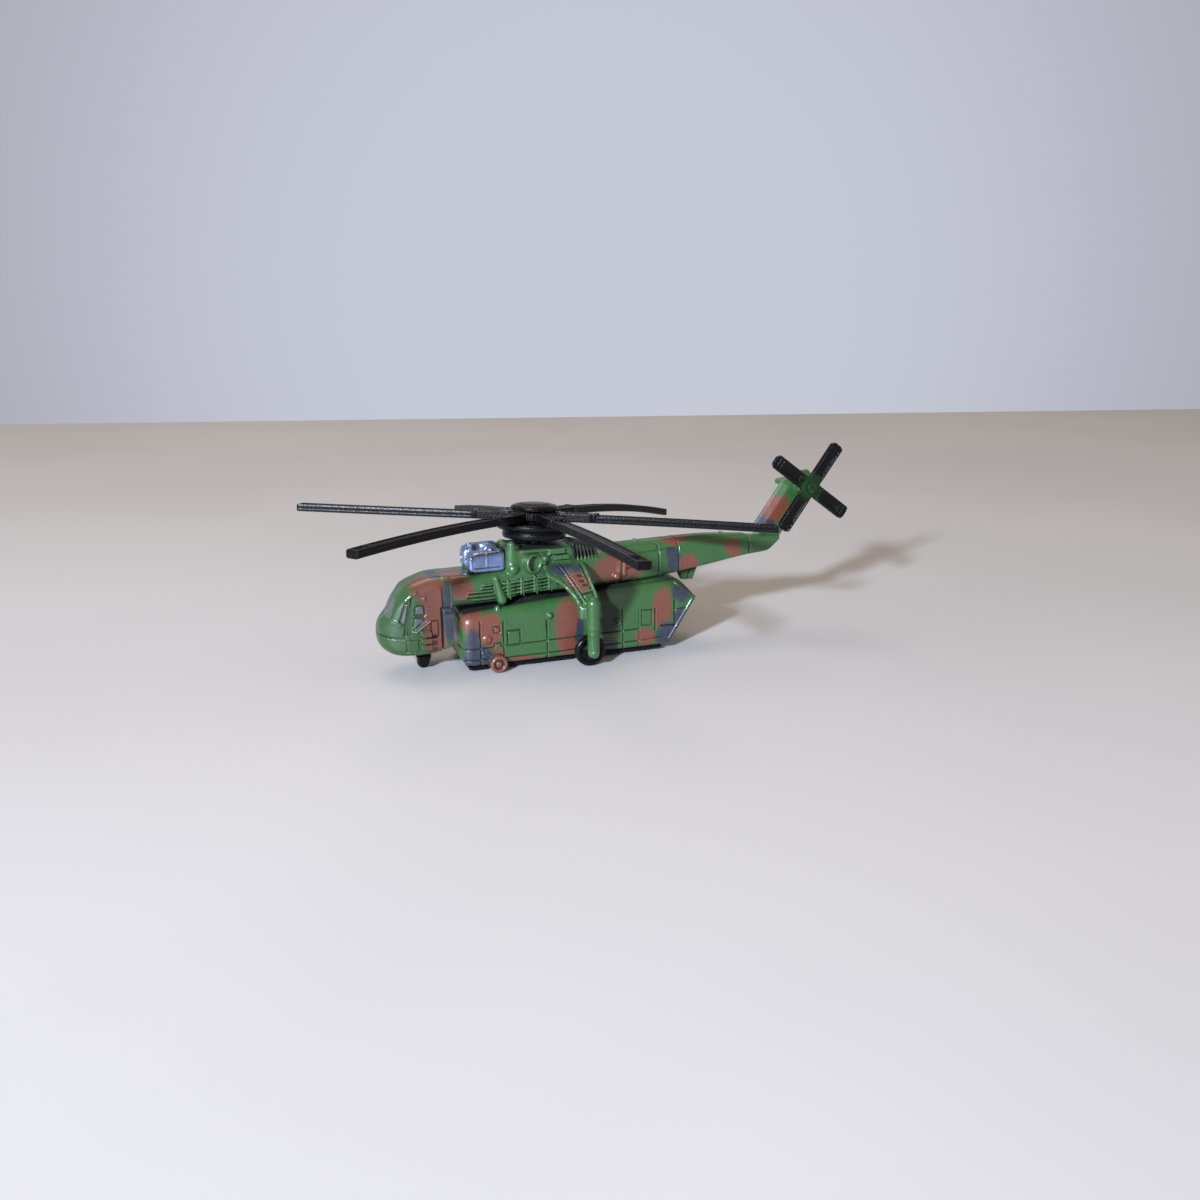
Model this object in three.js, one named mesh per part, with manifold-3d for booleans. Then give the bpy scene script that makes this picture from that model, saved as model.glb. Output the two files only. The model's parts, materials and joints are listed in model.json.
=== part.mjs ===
// A pocket-size toy of a heavy-lift cargo helicopter: a two-half moulded body with a long boom, a silver
// engine-intake block, cranked landing-gear legs, a six-blade rotor, a four-blade tail rotor, and a
// box-shaped cargo pod that plugs in under the body.
// Millimetres, X to the nose, Y to the left side, Z up. The pieces are drawn with x = 0 on the rotor axis and
// z = 0 on the surface the toy stands on, and the last step moves x = 0 to the middle of the whole toy's box.
import * as THREE from "three";
import { mergeVertices } from "three/addons/utils/BufferGeometryUtils.js";
import Module from "manifold-3d";

const wasm = await Module();
wasm.setup();

// ---------- Driving dimensions ----------
const BOX_MIDDLE_X = -9.24; // middle of the whole toy's length, from the rotor axis
const SEAM = 0.05; // each body half stops this far from the middle plane
const GAP = 0.3; // clearance between pieces that touch
const WALL = 1.2; // moulded wall
const SLIVER = 0.01; // edges shorter than this, left by a cut, are merged away
const ROTOR_RADIUS = 36.2;
const ROTOR_HEIGHT = 22.1; // hub centre above the ground
const ROTOR_ROLL = THREE.MathUtils.degToRad(4); // the loose mast leans: left side of the disc up
const ROTOR_PITCH = THREE.MathUtils.degToRad(3.6); // and its front up
const BLADE_COUNT = 6;
const FIRST_BLADE = -25; // degrees from the nose towards the left side
const BLADE_ROOT = -0.5; // height of a blade's middle line at the hub
const BLADE_SETS = [[0, -0.1], [0, 2.1], [0, 2], [0, 0.45], [0.6, 1.75], [-0.3, 2.5]]; // bow and droop
const BLADE_CHORD = 2.1;
const BLADE_THICK = 1;
const MAST_RADIUS = 0.9;
const MAST_DEPTH = 9.2; // how far the mast pin reaches below the hub
const TAIL_HUB = [-45.1, 3.1, 23.6];
const TAIL_RADIUS = 8.1;
const TAIL_FIRST_BLADE = 36; // degrees up from the nose direction
const TAIL_CHORD = 2.3;
const POD_HALF = 5.6;
const POD_FRONT = 12.9;
const POD_BOTTOM = 1;
const POD_ROOF = [8.8, 10.9]; // height of the roof at the front and at the rear
const WHEEL = { x: -5.75, radius: 2.35, inner: 7.5, outer: 8.9, bore: 0.75 };
const STRUT = { y: 9.75, radius: 0.97, top: 10.3 };
const AXLE_RADIUS = 0.45;
const NOSE_GEAR_X = 17.8;
const NOSE_WHEEL_RADIUS = 0.95;
const BELLY_PEG = { radius: 0.8, top: 12.6, at: [4.5, -14.5] }; // the pod's pegs
const NOSE_PEG_RADIUS = 0.5;
const INTAKE_PEG = { x: 8.4, radius: 0.7 };
const LEG_PEG = { x: -3.2, z: 13.2, radius: 0.6 };
const SKID_PEG = { x: -25, radius: 0.4 };
const STABILISER_PEG = { at: [-43.5, 23.45], radius: 0.3 };
const TAIL_PIN_RADIUS = 0.5;
const HUB_RADIUS = 3.5;
const DRUM_RADIUS = 4.8;
const POD_WHEEL = { x: 7.85, radius: 1.3, outer: 6.9 }; // moulded with the pod

// ---------- Shape helpers ----------

// Any closed three.js geometry as a solid that can be joined and cut.
function solid(geometry, matrix = new THREE.Matrix4()) {
  const bare = new THREE.BufferGeometry();
  bare.setAttribute("position", geometry.getAttribute("position").clone());
  if (geometry.index) bare.setIndex(geometry.index.clone());
  const merged = mergeVertices(bare.applyMatrix4(matrix), 1e-4);
  const corners = Array.from(merged.index.array);
  const kept = [];
  for (let i = 0; i < corners.length; i += 3) {
    const [a, b, c] = corners.slice(i, i + 3);
    if (a !== b && b !== c && c !== a) kept.push(a, b, c);
  }
  return new wasm.Manifold(
    new wasm.Mesh({
      numProp: 3,
      vertProperties: merged.getAttribute("position").array,
      triVerts: new Uint32Array(kept),
    }),
  );
}

const joined = (...solids) => solids.flat().reduce((a, b) => a.add(b));

const cut = (body, ...tools) => tools.flat().reduce((a, b) => a.subtract(b), body);

function box(x0, x1, y0, y1, z0, z1) {
  const at = new THREE.Matrix4().setPosition((x0 + x1) / 2, (y0 + y1) / 2, (z0 + z1) / 2);
  return solid(new THREE.BoxGeometry(x1 - x0, y1 - y0, z1 - z0), at);
}

// A matrix that lays the +Y of a three.js geometry along a direction.
function along(direction, centre) {
  const turn = new THREE.Quaternion().setFromUnitVectors(
    new THREE.Vector3(0, 1, 0),
    direction.clone().normalize(),
  );
  return new THREE.Matrix4().compose(centre, turn, new THREE.Vector3(1, 1, 1));
}

// A round bar between two points, which may taper.
function bar(from, to, radius, endRadius = radius, sides = 16) {
  const a = new THREE.Vector3(...from);
  const b = new THREE.Vector3(...to);
  const middle = a.clone().add(b).divideScalar(2);
  const geometry = new THREE.CylinderGeometry(endRadius, radius, a.distanceTo(b), sides);
  return solid(geometry, along(b.clone().sub(a), middle));
}

function ball(centre, radius, sides = 12) {
  const at = new THREE.Matrix4().setPosition(...centre);
  return solid(new THREE.SphereGeometry(radius, sides, sides / 2), at);
}

// A turned shape: pairs of radius and distance along the axis, from the axis back to the axis.
function turned(profile, centre, axis = [0, 0, 1], sides = 24) {
  const points = profile.map(([radius, height]) => new THREE.Vector2(radius, height));
  const place = along(new THREE.Vector3(...axis), new THREE.Vector3(...centre));
  return solid(new THREE.LatheGeometry(points, sides), place);
}

// An outline drawn in two of the axes and pulled along the third.
function extruded(outline, depth, basis) {
  const shape = new THREE.Shape(outline.map(([u, v]) => new THREE.Vector2(u, v)));
  return solid(new THREE.ExtrudeGeometry(shape, { depth, bevelEnabled: false }), basis);
}

function sidePlate(outlineXZ, y0, y1) {
  const [x, z, back] = [[1, 0, 0], [0, 0, 1], [0, -1, 0]].map((v) => new THREE.Vector3(...v));
  const basis = new THREE.Matrix4().makeBasis(x, z, back).setPosition(0, y1, 0);
  return extruded(outlineXZ, y1 - y0, basis);
}

function frontPlate(outlineYZ, x0, x1) {
  const [y, z, x] = [[0, 1, 0], [0, 0, 1], [1, 0, 0]].map((v) => new THREE.Vector3(...v));
  const basis = new THREE.Matrix4().makeBasis(y, z, x).setPosition(x0, 0, 0);
  return extruded(outlineYZ, x1 - x0, basis);
}

// A rounded rectangle in the YZ plane, anticlockwise as seen from the nose.
function roundedRing({ x, half, low, high, top, bottom, y = 0 }, steps = 3) {
  const corners = [
    [half - bottom, low + bottom, bottom, -90],
    [half - top, high - top, top, 0],
    [top - half, high - top, top, 90],
    [bottom - half, low + bottom, bottom, 180],
  ];
  return corners.flatMap(([cy, cz, radius, start]) =>
    Array.from({ length: steps + 1 }, (_, i) => {
      const angle = THREE.MathUtils.degToRad(start + (90 * i) / steps);
      return [x, y + cy + radius * Math.cos(angle), cz + radius * Math.sin(angle)];
    }),
  );
}

// A skin over rounded rectangles, given from the tail end to the nose end.
function loft(stations) {
  const rings = stations.map((s) => roundedRing(s));
  const count = rings[0].length;
  const middleOf = (ring) => [0, 1, 2].map((k) => ring.reduce((sum, p) => sum + p[k], 0) / count);
  const points = [...rings.flat(), middleOf(rings[0]), middleOf(rings.at(-1))];
  const faces = [];
  for (let j = 0; j < count; j++) {
    const next = (j + 1) % count;
    for (let i = 0; i + 1 < rings.length; i++) {
      const [a, b] = [i * count, (i + 1) * count];
      faces.push(a + j, a + next, b + next, a + j, b + next, b + j);
    }
    const last = (rings.length - 1) * count;
    faces.push(points.length - 2, next, j, points.length - 1, last + j, last + next);
  }
  const geometry = new THREE.BufferGeometry();
  geometry.setAttribute("position", new THREE.Float32BufferAttribute(points.flat(), 3));
  geometry.setIndex(faces);
  return solid(geometry);
}

// The same skin, smaller by a wall all round.
const inset = (stations, wall) =>
  stations.map((s) => ({
    ...s,
    half: s.half - wall,
    low: s.low + wall,
    high: s.high - wall,
    top: Math.max(0.1, s.top - wall),
    bottom: Math.max(0.1, s.bottom - wall),
  }));

const station = (x, half, low, high, top, bottom = top) => ({ x, half, low, high, top, bottom });

// The rotor's lean, and a point on its axis at a height above the hub.
const rotorLean = new THREE.Euler(ROTOR_ROLL, -ROTOR_PITCH, 0);
const onMast = (height) =>
  new THREE.Vector3(0, 0, height)
    .applyEuler(rotorLean)
    .add(new THREE.Vector3(0, 0, ROTOR_HEIGHT))
    .toArray();

// ---------- Materials ----------
const paint = { color: 0x4f8a58, roughness: 0.35, metalness: 0 };
const blackPlastic = { color: 0x141416, roughness: 0.4, metalness: 0 };
const silver = { color: 0x8f9dc0, roughness: 0.25, metalness: 0.9 };
const steel = { color: 0xb8b8b4, roughness: 0.3, metalness: 1 };

const helicopter = new THREE.Group();

function piece(name, body, material, parent = helicopter) {
  const { numProp, numVert, vertProperties, triVerts } = body.simplify(SLIVER).getMesh();
  const positions = new Float32Array(numVert * 3);
  for (let i = 0; i < numVert; i++) {
    positions.set(vertProperties.subarray(i * numProp, i * numProp + 3), i * 3);
  }
  const geometry = new THREE.BufferGeometry();
  geometry.setAttribute("position", new THREE.BufferAttribute(positions, 3));
  geometry.setIndex(new THREE.BufferAttribute(triVerts, 1));
  geometry.computeVertexNormals();
  const mesh = new THREE.Mesh(geometry, new THREE.MeshStandardMaterial(material));
  mesh.name = name;
  parent.add(mesh);
  return mesh;
}

// ---------- Body halves ----------
const cockpitStations = [
  station(13.9, 4.0, 3.3, 14.3, 1.6, 0.9),
  station(16.2, 4.1, 3.1, 14.4, 1.7, 1),
  station(18.6, 4.1, 3.0, 13.9, 1.7, 1),
  station(20.5, 3.9, 2.95, 13.0, 1.6, 1),
  station(21.5, 3.6, 3.0, 11.3, 1.4, 1.1),
  station(22.5, 3.2, 3.2, 9.7, 1.3, 1.3),
  station(23.5, 2.6, 3.7, 8.9, 1.3, 1.4),
  station(24.2, 1.7, 4.5, 8.0, 1.2, 1.2),
  station(24.45, 0.9, 5.2, 7.2, 0.8, 0.8),
];
const backboneStations = [
  station(-12.5, 3.0, 10.9, 15.9, 0.8),
  station(-7, 3.6, 10.8, 15.4, 0.7),
  station(0, 4.0, 10.6, 14.9, 0.6),
  station(8, 4.0, 10.15, 14.3, 0.6),
  station(15, 3.9, 9.95, 14.3, 1.2, 0.6),
];
const boomStations = [
  station(-41.2, 0.9, 14.9, 15.6, 0.3),
  station(-38.6, 1.3, 13.2, 15.9, 0.5),
  station(-35, 1.7, 13.1, 16.1, 0.6),
  station(-27, 2.3, 12.1, 16.3, 0.8),
  station(-18, 2.7, 11.1, 16.1, 0.9),
  station(-12, 3.1, 10.9, 15.9, 0.9),
];
const spineStations = [
  station(-35, 0.7, 15.5, 16.3, 0.2),
  station(-27, 1.1, 15.5, 16.8, 0.3),
  station(-13, 1.4, 15.2, 16.5, 0.3),
];
const engineStations = [
  station(-5.2, 3.4, 14, 17.1, 0.8, 0.3),
  station(-4, 3.7, 14, 17.5, 0.8, 0.3),
  station(4.2, 3.8, 13.9, 17.7, 0.8, 0.3),
  station(5.3, 3.5, 13.9, 17.3, 0.8, 0.3),
];
const rearFairingStations = [
  station(-9.2, 1.9, 15, 16.4, 0.6, 0.3),
  station(-5.4, 2.6, 15, 17.7, 0.6, 0.3),
  station(-4.6, 2.5, 15, 17.6, 0.6, 0.3),
];

// The swept tail pylon, with a flat boss behind the tail rotor.
function pylon() {
  const fin = sidePlate(
    [
      [-36.9, 15.6], [-41.2, 15], [-47.6, 24.6], [-46.3, 26.1],
      [-43.6, 25.9], [-41.6, 24.6], [-36.9, 17.8],
    ],
    -0.9,
    0.9,
  );
  const [x, y, z] = TAIL_HUB;
  return joined(fin, bar([x, 0, z], [x, y - 1, z], 1.7, 1.4, 20));
}

// Cooling slats and a slanted teardrop lug on one side of the backbone.
function sideTrim(side) {
  const slats = [];
  const panels = [[10.9, 8.2], [5.3, 3.7], [3.2, 1.6], [1.1, -0.9]];
  panels.forEach(([front, rear], panel) => {
    for (let row = 0; row < 4; row++) {
      const z = 11.2 + 0.6 * row + 0.12 * panel;
      slats.push(bar([rear, side * 3.9, z], [front, side * 3.9, z], 0.25, 0.25, 6));
    }
  });
  const lug = joined(
    bar([7.3, side * 3.9, 13.9], [6.6, side * 4.1, 10.7], 0.45, 0.8, 12),
    ball([6.6, side * 4.1, 10.7], 0.8),
  );
  return [...slats, lug];
}

// Exhaust dish, corner post, pump and stepped pipe on one side of the engine deck.
function engineTrim(side) {
  const tilt = new THREE.Vector3(-0.42, side * 0.9, 0.05).normalize();
  const centre = [2, side * 3.05, 15.3];
  const dish = turned(
    [[0, 0], [1.4, 0], [1.45, 1.5], [1.1, 1.5], [0.95, 0.9], [0, 0.7]],
    centre,
    tilt.toArray(),
    20,
  );
  return [
    dish,
    bar([4.5, side * 3.5, 14.2], [4.6, side * 3.5, 18.4], 0.75, 0.6, 12),
    ball([4.6, side * 3.5, 18.45], 0.55),
    ball([3.8, side * 3.6, 17.8], 0.45),
    bar([-0.25, side * 3.4, 16], [-0.25, side * 4.5, 16], 0.6, 0.5, 12),
    box(-3.4, -0.9, ...[side * 3.2, side * 4.2].sort((a, b) => a - b), 16.5, 17.35),
    box(-4.1, -1.7, ...[side * 3.2, side * 4.2].sort((a, b) => a - b), 15.6, 16.3),
  ];
}

// Rear door panel of the cockpit and the ribs of the boom.
function panelTrim(side) {
  const door = sidePlate([[14, 4.6], [15.3, 4], [15.3, 9.8], [14, 9.7]], -0.25, 0.25);
  const ribs = [-7.4, -8.6, -9.8].map((x) =>
    bar([x, side * 3.3, 11.8], [x, side * 3.2, 15.2], 0.4, 0.4, 8),
  );
  const foot = ball([-11.1, side * 3, 12], 0.8);
  return [door.translate([0, side * 4.1, 0]), ...ribs, foot];
}

function bodyHull() {
  const bumps = [-16, -22.5, -26.4, -31].map((x) =>
    bar([x, -0.5, 16.6], [x, 0.5, 16.6], 0.35, 0.35, 8),
  );
  const outside = [
    loft(cockpitStations),
    loft(backboneStations),
    loft(boomStations),
    loft(spineStations),
    loft(engineStations),
    loft(rearFairingStations),
    pylon(),
    ...bumps,
    ...[1, -1].flatMap((side) => [...sideTrim(side), ...engineTrim(side), ...panelTrim(side)]),
  ];
  const frontRoom = inset(cockpitStations.slice(0, 6), WALL);
  frontRoom[0].x += WALL;
  const backRoom = inset(backboneStations.slice(1), WALL);
  backRoom.at(-1).x = 13;
  const hollows = [loft(frontRoom), loft(backRoom)];
  const mastPost = bar([0, 0, 11], [0, 0, 16], 2.2, 2.2, 20);
  const pegPosts = BELLY_PEG.at.map((x) => bar([x, 0, 10.7], [x, 0, 13.4], 2, 2, 16));
  return joined(cut(joined(outside), hollows), mastPost, pegPosts);
}

// A round hole that a peg of the given radius fits loosely.
const socket = (from, to, pegRadius, sides = 12) => bar(from, to, pegRadius + GAP, pegRadius + GAP, sides);

// Holes for the mast pin, the pod's pegs, the nose gear, the legs, the intake block and the tail's pieces.
function bodyHoles() {
  const [tailX, tailY, tailZ] = TAIL_HUB;
  const [stabiliserX, stabiliserZ] = STABILISER_PEG.at;
  return [
    socket(onMast(-MAST_DEPTH - GAP), onMast(0), MAST_RADIUS, 20),
    ...BELLY_PEG.at.map((x) => socket([x, 0, 10], [x, 0, BELLY_PEG.top + GAP], BELLY_PEG.radius, 16)),
    socket([NOSE_GEAR_X, 0, 2], [NOSE_GEAR_X, 0, 4.6], NOSE_PEG_RADIUS),
    socket([INTAKE_PEG.x, 0, 12.8], [INTAKE_PEG.x, 0, 15], INTAKE_PEG.radius),
    bar([tailX, -1.5, tailZ], [tailX, tailY, tailZ], TAIL_PIN_RADIUS + 0.2, TAIL_PIN_RADIUS + 0.2, 12),
    bar([stabiliserX, -1.5, stabiliserZ], [stabiliserX, -0.25, stabiliserZ], 0.5, 0.5, 12),
    socket([SKID_PEG.x, 0, 11], [SKID_PEG.x, 0, 13.1], SKID_PEG.radius),
    ...[1, -1].map((side) =>
      socket([LEG_PEG.x, side * 2, LEG_PEG.z], [LEG_PEG.x, side * 5, LEG_PEG.z], LEG_PEG.radius),
    ),
  ];
}

// Locating pins of the left half plug into the right half. In the two hollow rooms they stand on posts.
const ROOM_PINS = [[17, 6.2], [11.5, 12]];
const BOOM_PINS = [[-18, 13.6], [-33, 14.8]];
const PIN_RADIUS = 0.5;
const body = cut(bodyHull(), bodyHoles());
const leftSpace = box(-60, 40, SEAM, 10, -1, 40);
const rightSpace = box(-60, 40, -10, -SEAM, -1, 40);
const posts = (places, y0, y1, radius) =>
  places.map(([x, z]) => bar([x, y0, z], [x, y1, z], radius, radius, 12));
const allPins = [...ROOM_PINS, ...BOOM_PINS];
const leftHalf = joined(
  body.intersect(leftSpace),
  posts(ROOM_PINS, SEAM, 3.2, 0.9),
  posts(allPins, -1.2, 1, PIN_RADIUS),
);
const rightHalf = cut(
  joined(body.intersect(rightSpace), posts(ROOM_PINS, -3.2, -SEAM, 1.3)),
  posts(allPins, -1.6, 1, PIN_RADIUS + GAP),
);
piece("body_left_half", leftHalf, paint);
piece("body_right_half", rightHalf, paint);

// The small tailplane plugs into the far side of the pylon, and the skid under the boom is moulded apart.
piece(
  "tail_stabiliser",
  joined(
    sidePlate([[-42.9, 23], [-43, 23.9], [-46.2, 24.3], [-46.4, 23.5]], -5.4, -1.2),
    posts([STABILISER_PEG.at], -1.5, -0.4, STABILISER_PEG.radius),
  ),
  paint,
);
piece(
  "tail_skid",
  joined(
    sidePlate([[-23.3, 11.2], [-24, 9.7], [-26, 9.6], [-26.8, 11.7]], -0.55, 0.55),
    bar([SKID_PEG.x, 0, 11], [SKID_PEG.x, 0, 12.8], SKID_PEG.radius, SKID_PEG.radius, 12),
  ),
  paint,
);

// ---------- Engine intake block ----------
function intakeBlock() {
  const lobe = (side, shift) =>
    loft([
      { ...station(5.7 + shift, 1.2, 14.9, 17.1, 0.5), y: side * 1.65 },
      { ...station(6.1 + shift, 1.5, 14.65, 17.4, 0.6), y: side * 1.65 },
      { ...station(10.5 + shift, 1.5, 14.65, 17.4, 0.6), y: side * 1.65 },
      { ...station(11 + shift, 1.2, 14.9, 17.1, 0.5), y: side * 1.65 },
    ]);
  const peg = bar([INTAKE_PEG.x, 0, 13.3], [INTAKE_PEG.x, 0, 15.2], INTAKE_PEG.radius, INTAKE_PEG.radius, 12);
  return joined(lobe(1, 0), lobe(-1, 0), box(6.2, 10.4, -1, 1, 14.7, 16.6), peg);
}
piece("engine_intake_block", intakeBlock(), silver);

// ---------- Landing gear ----------
function gearLeg() {
  const curved = frontPlate(
    [
      [4.4, 15.2], [5.6, 14.6], [7, 12.9], [8.3, 11], [9.2, 9.6], [9.5, 7.7],
      [8.4, 7.6], [7.9, 8.9], [7, 10.1], [5.9, 11.5], [5, 12.4], [4.4, 12.7],
    ],
    -8,
    1,
  );
  const outline = sidePlate(
    [
      [0.2, 15.3], [-6, 15.3], [-6.6, 12.4], [-7.2, 9.8], [-7.3, 7.5],
      [-3.8, 7.5], [-3.8, 9.4], [-2.9, 11.3], [-1.5, 12.8], [0.2, 13.6],
    ],
    4,
    10,
  );
  const { x, radius, bore, outer } = WHEEL;
  const strut = bar([x, STRUT.y, 2.2], [x, STRUT.y, STRUT.top], STRUT.radius, STRUT.radius, 16);
  const ends = [2.2, STRUT.top].map((z) => ball([x, STRUT.y, z], STRUT.radius, 16));
  const peg = bar([LEG_PEG.x, 2.8, LEG_PEG.z], [LEG_PEG.x, 5, LEG_PEG.z], LEG_PEG.radius, LEG_PEG.radius, 12);
  const axleHole = bar([x, 8, radius], [x, 10.2, radius], bore, bore, 12);
  const wheelRoom = box(-9, -2, 6.5, outer - 0.15, 0, 5.4);
  return cut(joined(curved.intersect(outline), strut, ends, peg), axleHole, wheelRoom);
}

function mainWheel() {
  const { radius, bore, inner, outer } = WHEEL;
  const width = outer - inner - 0.2;
  return turned(
    [
      [bore, 0], [1.2, 0], [1.4, 0.25], [1.7, 0.25], [1.9, 0], [radius - 0.2, 0], [radius, 0.25],
      [radius, width - 0.25], [radius - 0.2, width], [1.9, width], [1.7, width - 0.25],
      [1.4, width - 0.25], [1.2, width], [bore, width], [bore, 0],
    ],
    [WHEEL.x, inner, radius],
    [0, 1, 0],
    22,
  );
}

function mainAxle() {
  const { x, radius, inner } = WHEEL;
  return joined(
    bar([x, inner - 0.3, radius], [x, 9.9, radius], AXLE_RADIUS, AXLE_RADIUS, 12),
    bar([x, inner - 0.7, radius], [x, inner - 0.25, radius], 1, 1, 16),
  );
}

for (const [label, side] of [["left", 1], ["right", -1]]) {
  piece("gear_leg_" + label, gearLeg(), paint).scale.y = side;
  piece("main_wheel_" + label, mainWheel(), blackPlastic).scale.y = side;
  piece("main_axle_" + label, mainAxle(), steel).scale.y = side;
}

function noseFork() {
  const side = [[16.75, 2.75], [18.95, 2.75], [18.95, 1.9], [18.4, 0.5], [17.2, 0.5], [16.75, 1.9]];
  const cheeks = [[0.62, 1.1], [-1.1, -0.62]].map(([y0, y1]) => sidePlate(side, y0, y1));
  const crown = box(16.75, 18.95, -1.1, 1.1, 2.2, 2.75);
  const peg = bar([NOSE_GEAR_X, 0, 2.5], [NOSE_GEAR_X, 0, 4.2], NOSE_PEG_RADIUS, NOSE_PEG_RADIUS, 12);
  const y = 1.2;
  const hole = bar([NOSE_GEAR_X, -y, NOSE_WHEEL_RADIUS], [NOSE_GEAR_X, y, NOSE_WHEEL_RADIUS], 0.35, 0.35, 12);
  return cut(joined(cheeks, crown, peg), hole);
}
piece("nose_gear_fork", noseFork(), blackPlastic);
piece(
  "nose_wheel",
  turned(
    [
      [0.35, 0], [0.8, 0], [NOSE_WHEEL_RADIUS, 0.15], [NOSE_WHEEL_RADIUS, 0.85],
      [0.8, 1], [0.35, 1], [0.35, 0],
    ],
    [NOSE_GEAR_X, -0.5, NOSE_WHEEL_RADIUS],
    [0, 1, 0],
    20,
  ),
  blackPlastic,
);
piece(
  "nose_axle",
  bar([NOSE_GEAR_X, -1.08, NOSE_WHEEL_RADIUS], [NOSE_GEAR_X, 1.08, NOSE_WHEEL_RADIUS], 0.22, 0.22, 12),
  steel,
);

// ---------- Main rotor, drawn upright round its own hub ----------
const rotor = new THREE.Group();
rotor.position.z = ROTOR_HEIGHT;
rotor.rotation.copy(rotorLean);
helicopter.add(rotor);

// Height of a blade's middle line, which bows and droops as the soft plastic has taken a set.
function bladeHeight(r, [bow, droop]) {
  const share = r / ROTOR_RADIUS;
  return BLADE_ROOT + bow * 4 * share * (1 - share) - droop * share ** 2;
}

function rotorBlade(index) {
  const radii = [2.4, 5, 8, 11, 14.6, 18, 22, 27, 32, ROTOR_RADIUS];
  const face = (offset) => radii.map((r) => [r, bladeHeight(r, BLADE_SETS[index]) + offset]);
  const outline = [...face(-BLADE_THICK / 2), ...face(BLADE_THICK / 2).reverse()];
  const blade = sidePlate(outline, -BLADE_CHORD / 2, BLADE_CHORD / 2);
  const [from, to] = [3, 9.5]; // the thicker root cuff
  const cuff = sidePlate([[from, -0.95], [to, -1.05], [to, 0.25], [from, 0.45]], -1.35, 1.35);
  const turn = new THREE.Matrix4().makeRotationZ(
    THREE.MathUtils.degToRad(FIRST_BLADE + (360 / BLADE_COUNT) * index),
  );
  return joined(blade, cuff).transform(turn.toArray());
}

function rotorBlades() {
  const hub = bar([0, 0, -0.95], [0, 0, 0.35], HUB_RADIUS, HUB_RADIUS, 36);
  const blades = Array.from({ length: BLADE_COUNT }, (_, i) => rotorBlade(i));
  const bore = bar([0, 0, -3], [0, 0, 3], MAST_RADIUS + GAP, MAST_RADIUS + GAP, 20);
  const capSeat = bar([0, 0, 0.4], [0, 0, 3], HUB_RADIUS + 0.4, HUB_RADIUS + 0.4, 36);
  return cut(joined(hub, blades), bore, capSeat);
}
piece("main_rotor_blades", rotorBlades(), blackPlastic, rotor);
piece(
  "rotor_cap",
  turned(
    [
      [2.4, 0.5], [3.6, 0.5], [3.65, 1], [3.2, 1.3], [2.4, 1.52],
      [1, 1.64], [0, 1.65], [0, 1.15], [2.2, 1.05], [2.4, 0.5],
    ],
    [0, 0, 0],
    [0, 0, 1],
    36,
  ),
  blackPlastic,
  rotor,
);
piece(
  "rotor_collar",
  turned(
    [
      [1.2, -3.7], [DRUM_RADIUS - 0.3, -3.7], [DRUM_RADIUS, -3.4], [DRUM_RADIUS, -2.3], [5.5, -2.2],
      [5.7, -2], [5.7, -1.5], [5.5, -1.3], [2.6, -1.3], [2.6, -1.1], [1.2, -1.1], [1.2, -3.7],
    ],
    [0, 0, 0],
    [0, 0, 1],
    40,
  ),
  blackPlastic,
  rotor,
);
piece(
  "rotor_mast",
  joined(
    bar([0, 0, -MAST_DEPTH], [0, 0, 0.6], MAST_RADIUS, MAST_RADIUS, 20),
    bar([0, 0, 0.5], [0, 0, 0.95], 1.8, 1.6, 20),
  ),
  steel,
  rotor,
);

// ---------- Tail rotor ----------
function tailRotor() {
  const [x, y, z] = TAIL_HUB;
  const blades = Array.from({ length: 4 }, (_, i) => {
    const arm = sidePlate(
      [
        [0, -TAIL_CHORD / 2], [TAIL_RADIUS - 0.4, -TAIL_CHORD / 2], [TAIL_RADIUS, -0.5],
        [TAIL_RADIUS, 0.5], [TAIL_RADIUS - 0.4, TAIL_CHORD / 2], [0, TAIL_CHORD / 2],
      ],
      y - 0.45,
      y + 0.45,
    );
    const angle = THREE.MathUtils.degToRad(TAIL_FIRST_BLADE + 90 * i);
    const turn = new THREE.Matrix4().makeRotationY(-angle).setPosition(x, 0, z);
    return arm.transform(turn.toArray());
  });
  const hub = bar([x, y - 0.6, z], [x, y + 0.6, z], 1.9, 1.9, 20);
  return cut(joined(hub, blades), bar([x, y - 1, z], [x, y + 1, z], 0.8, 0.8, 12));
}
piece("tail_rotor", tailRotor(), blackPlastic);

function tailPin() {
  const [x, y, z] = TAIL_HUB;
  return joined(
    bar([x, -0.8, z], [x, y + 0.9, z], TAIL_PIN_RADIUS, TAIL_PIN_RADIUS, 12),
    bar([x, y + 0.75, z], [x, y + 1.2, z], 1.1, 0.8, 16),
  );
}
piece("tail_rotor_pin", tailPin(), paint);

// ---------- Cargo pod ----------
const roofAt = (x) => POD_ROOF[0] + ((POD_ROOF[1] - POD_ROOF[0]) * (POD_FRONT - x)) / 34;
const podStations = [
  station(-25, POD_HALF, POD_BOTTOM, roofAt(-25), 1.5, 0.35),
  station(-12, POD_HALF, POD_BOTTOM, roofAt(-12), 1.5, 0.35),
  station(11.7, POD_HALF, POD_BOTTOM, roofAt(11.7), 1.5, 0.35),
  station(12.5, POD_HALF - 0.3, POD_BOTTOM + 0.3, roofAt(12.5) - 0.25, 1.4, 0.6),
  station(POD_FRONT, POD_HALF - 0.9, POD_BOTTOM + 0.9, roofAt(12.5) - 0.7, 1.1, 0.6),
];
const podSide = [[14, 0.5], [14, 11.6], [-21.1, 11.6], [-24.3, 8.1], [-19.4, 0.5]];

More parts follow.
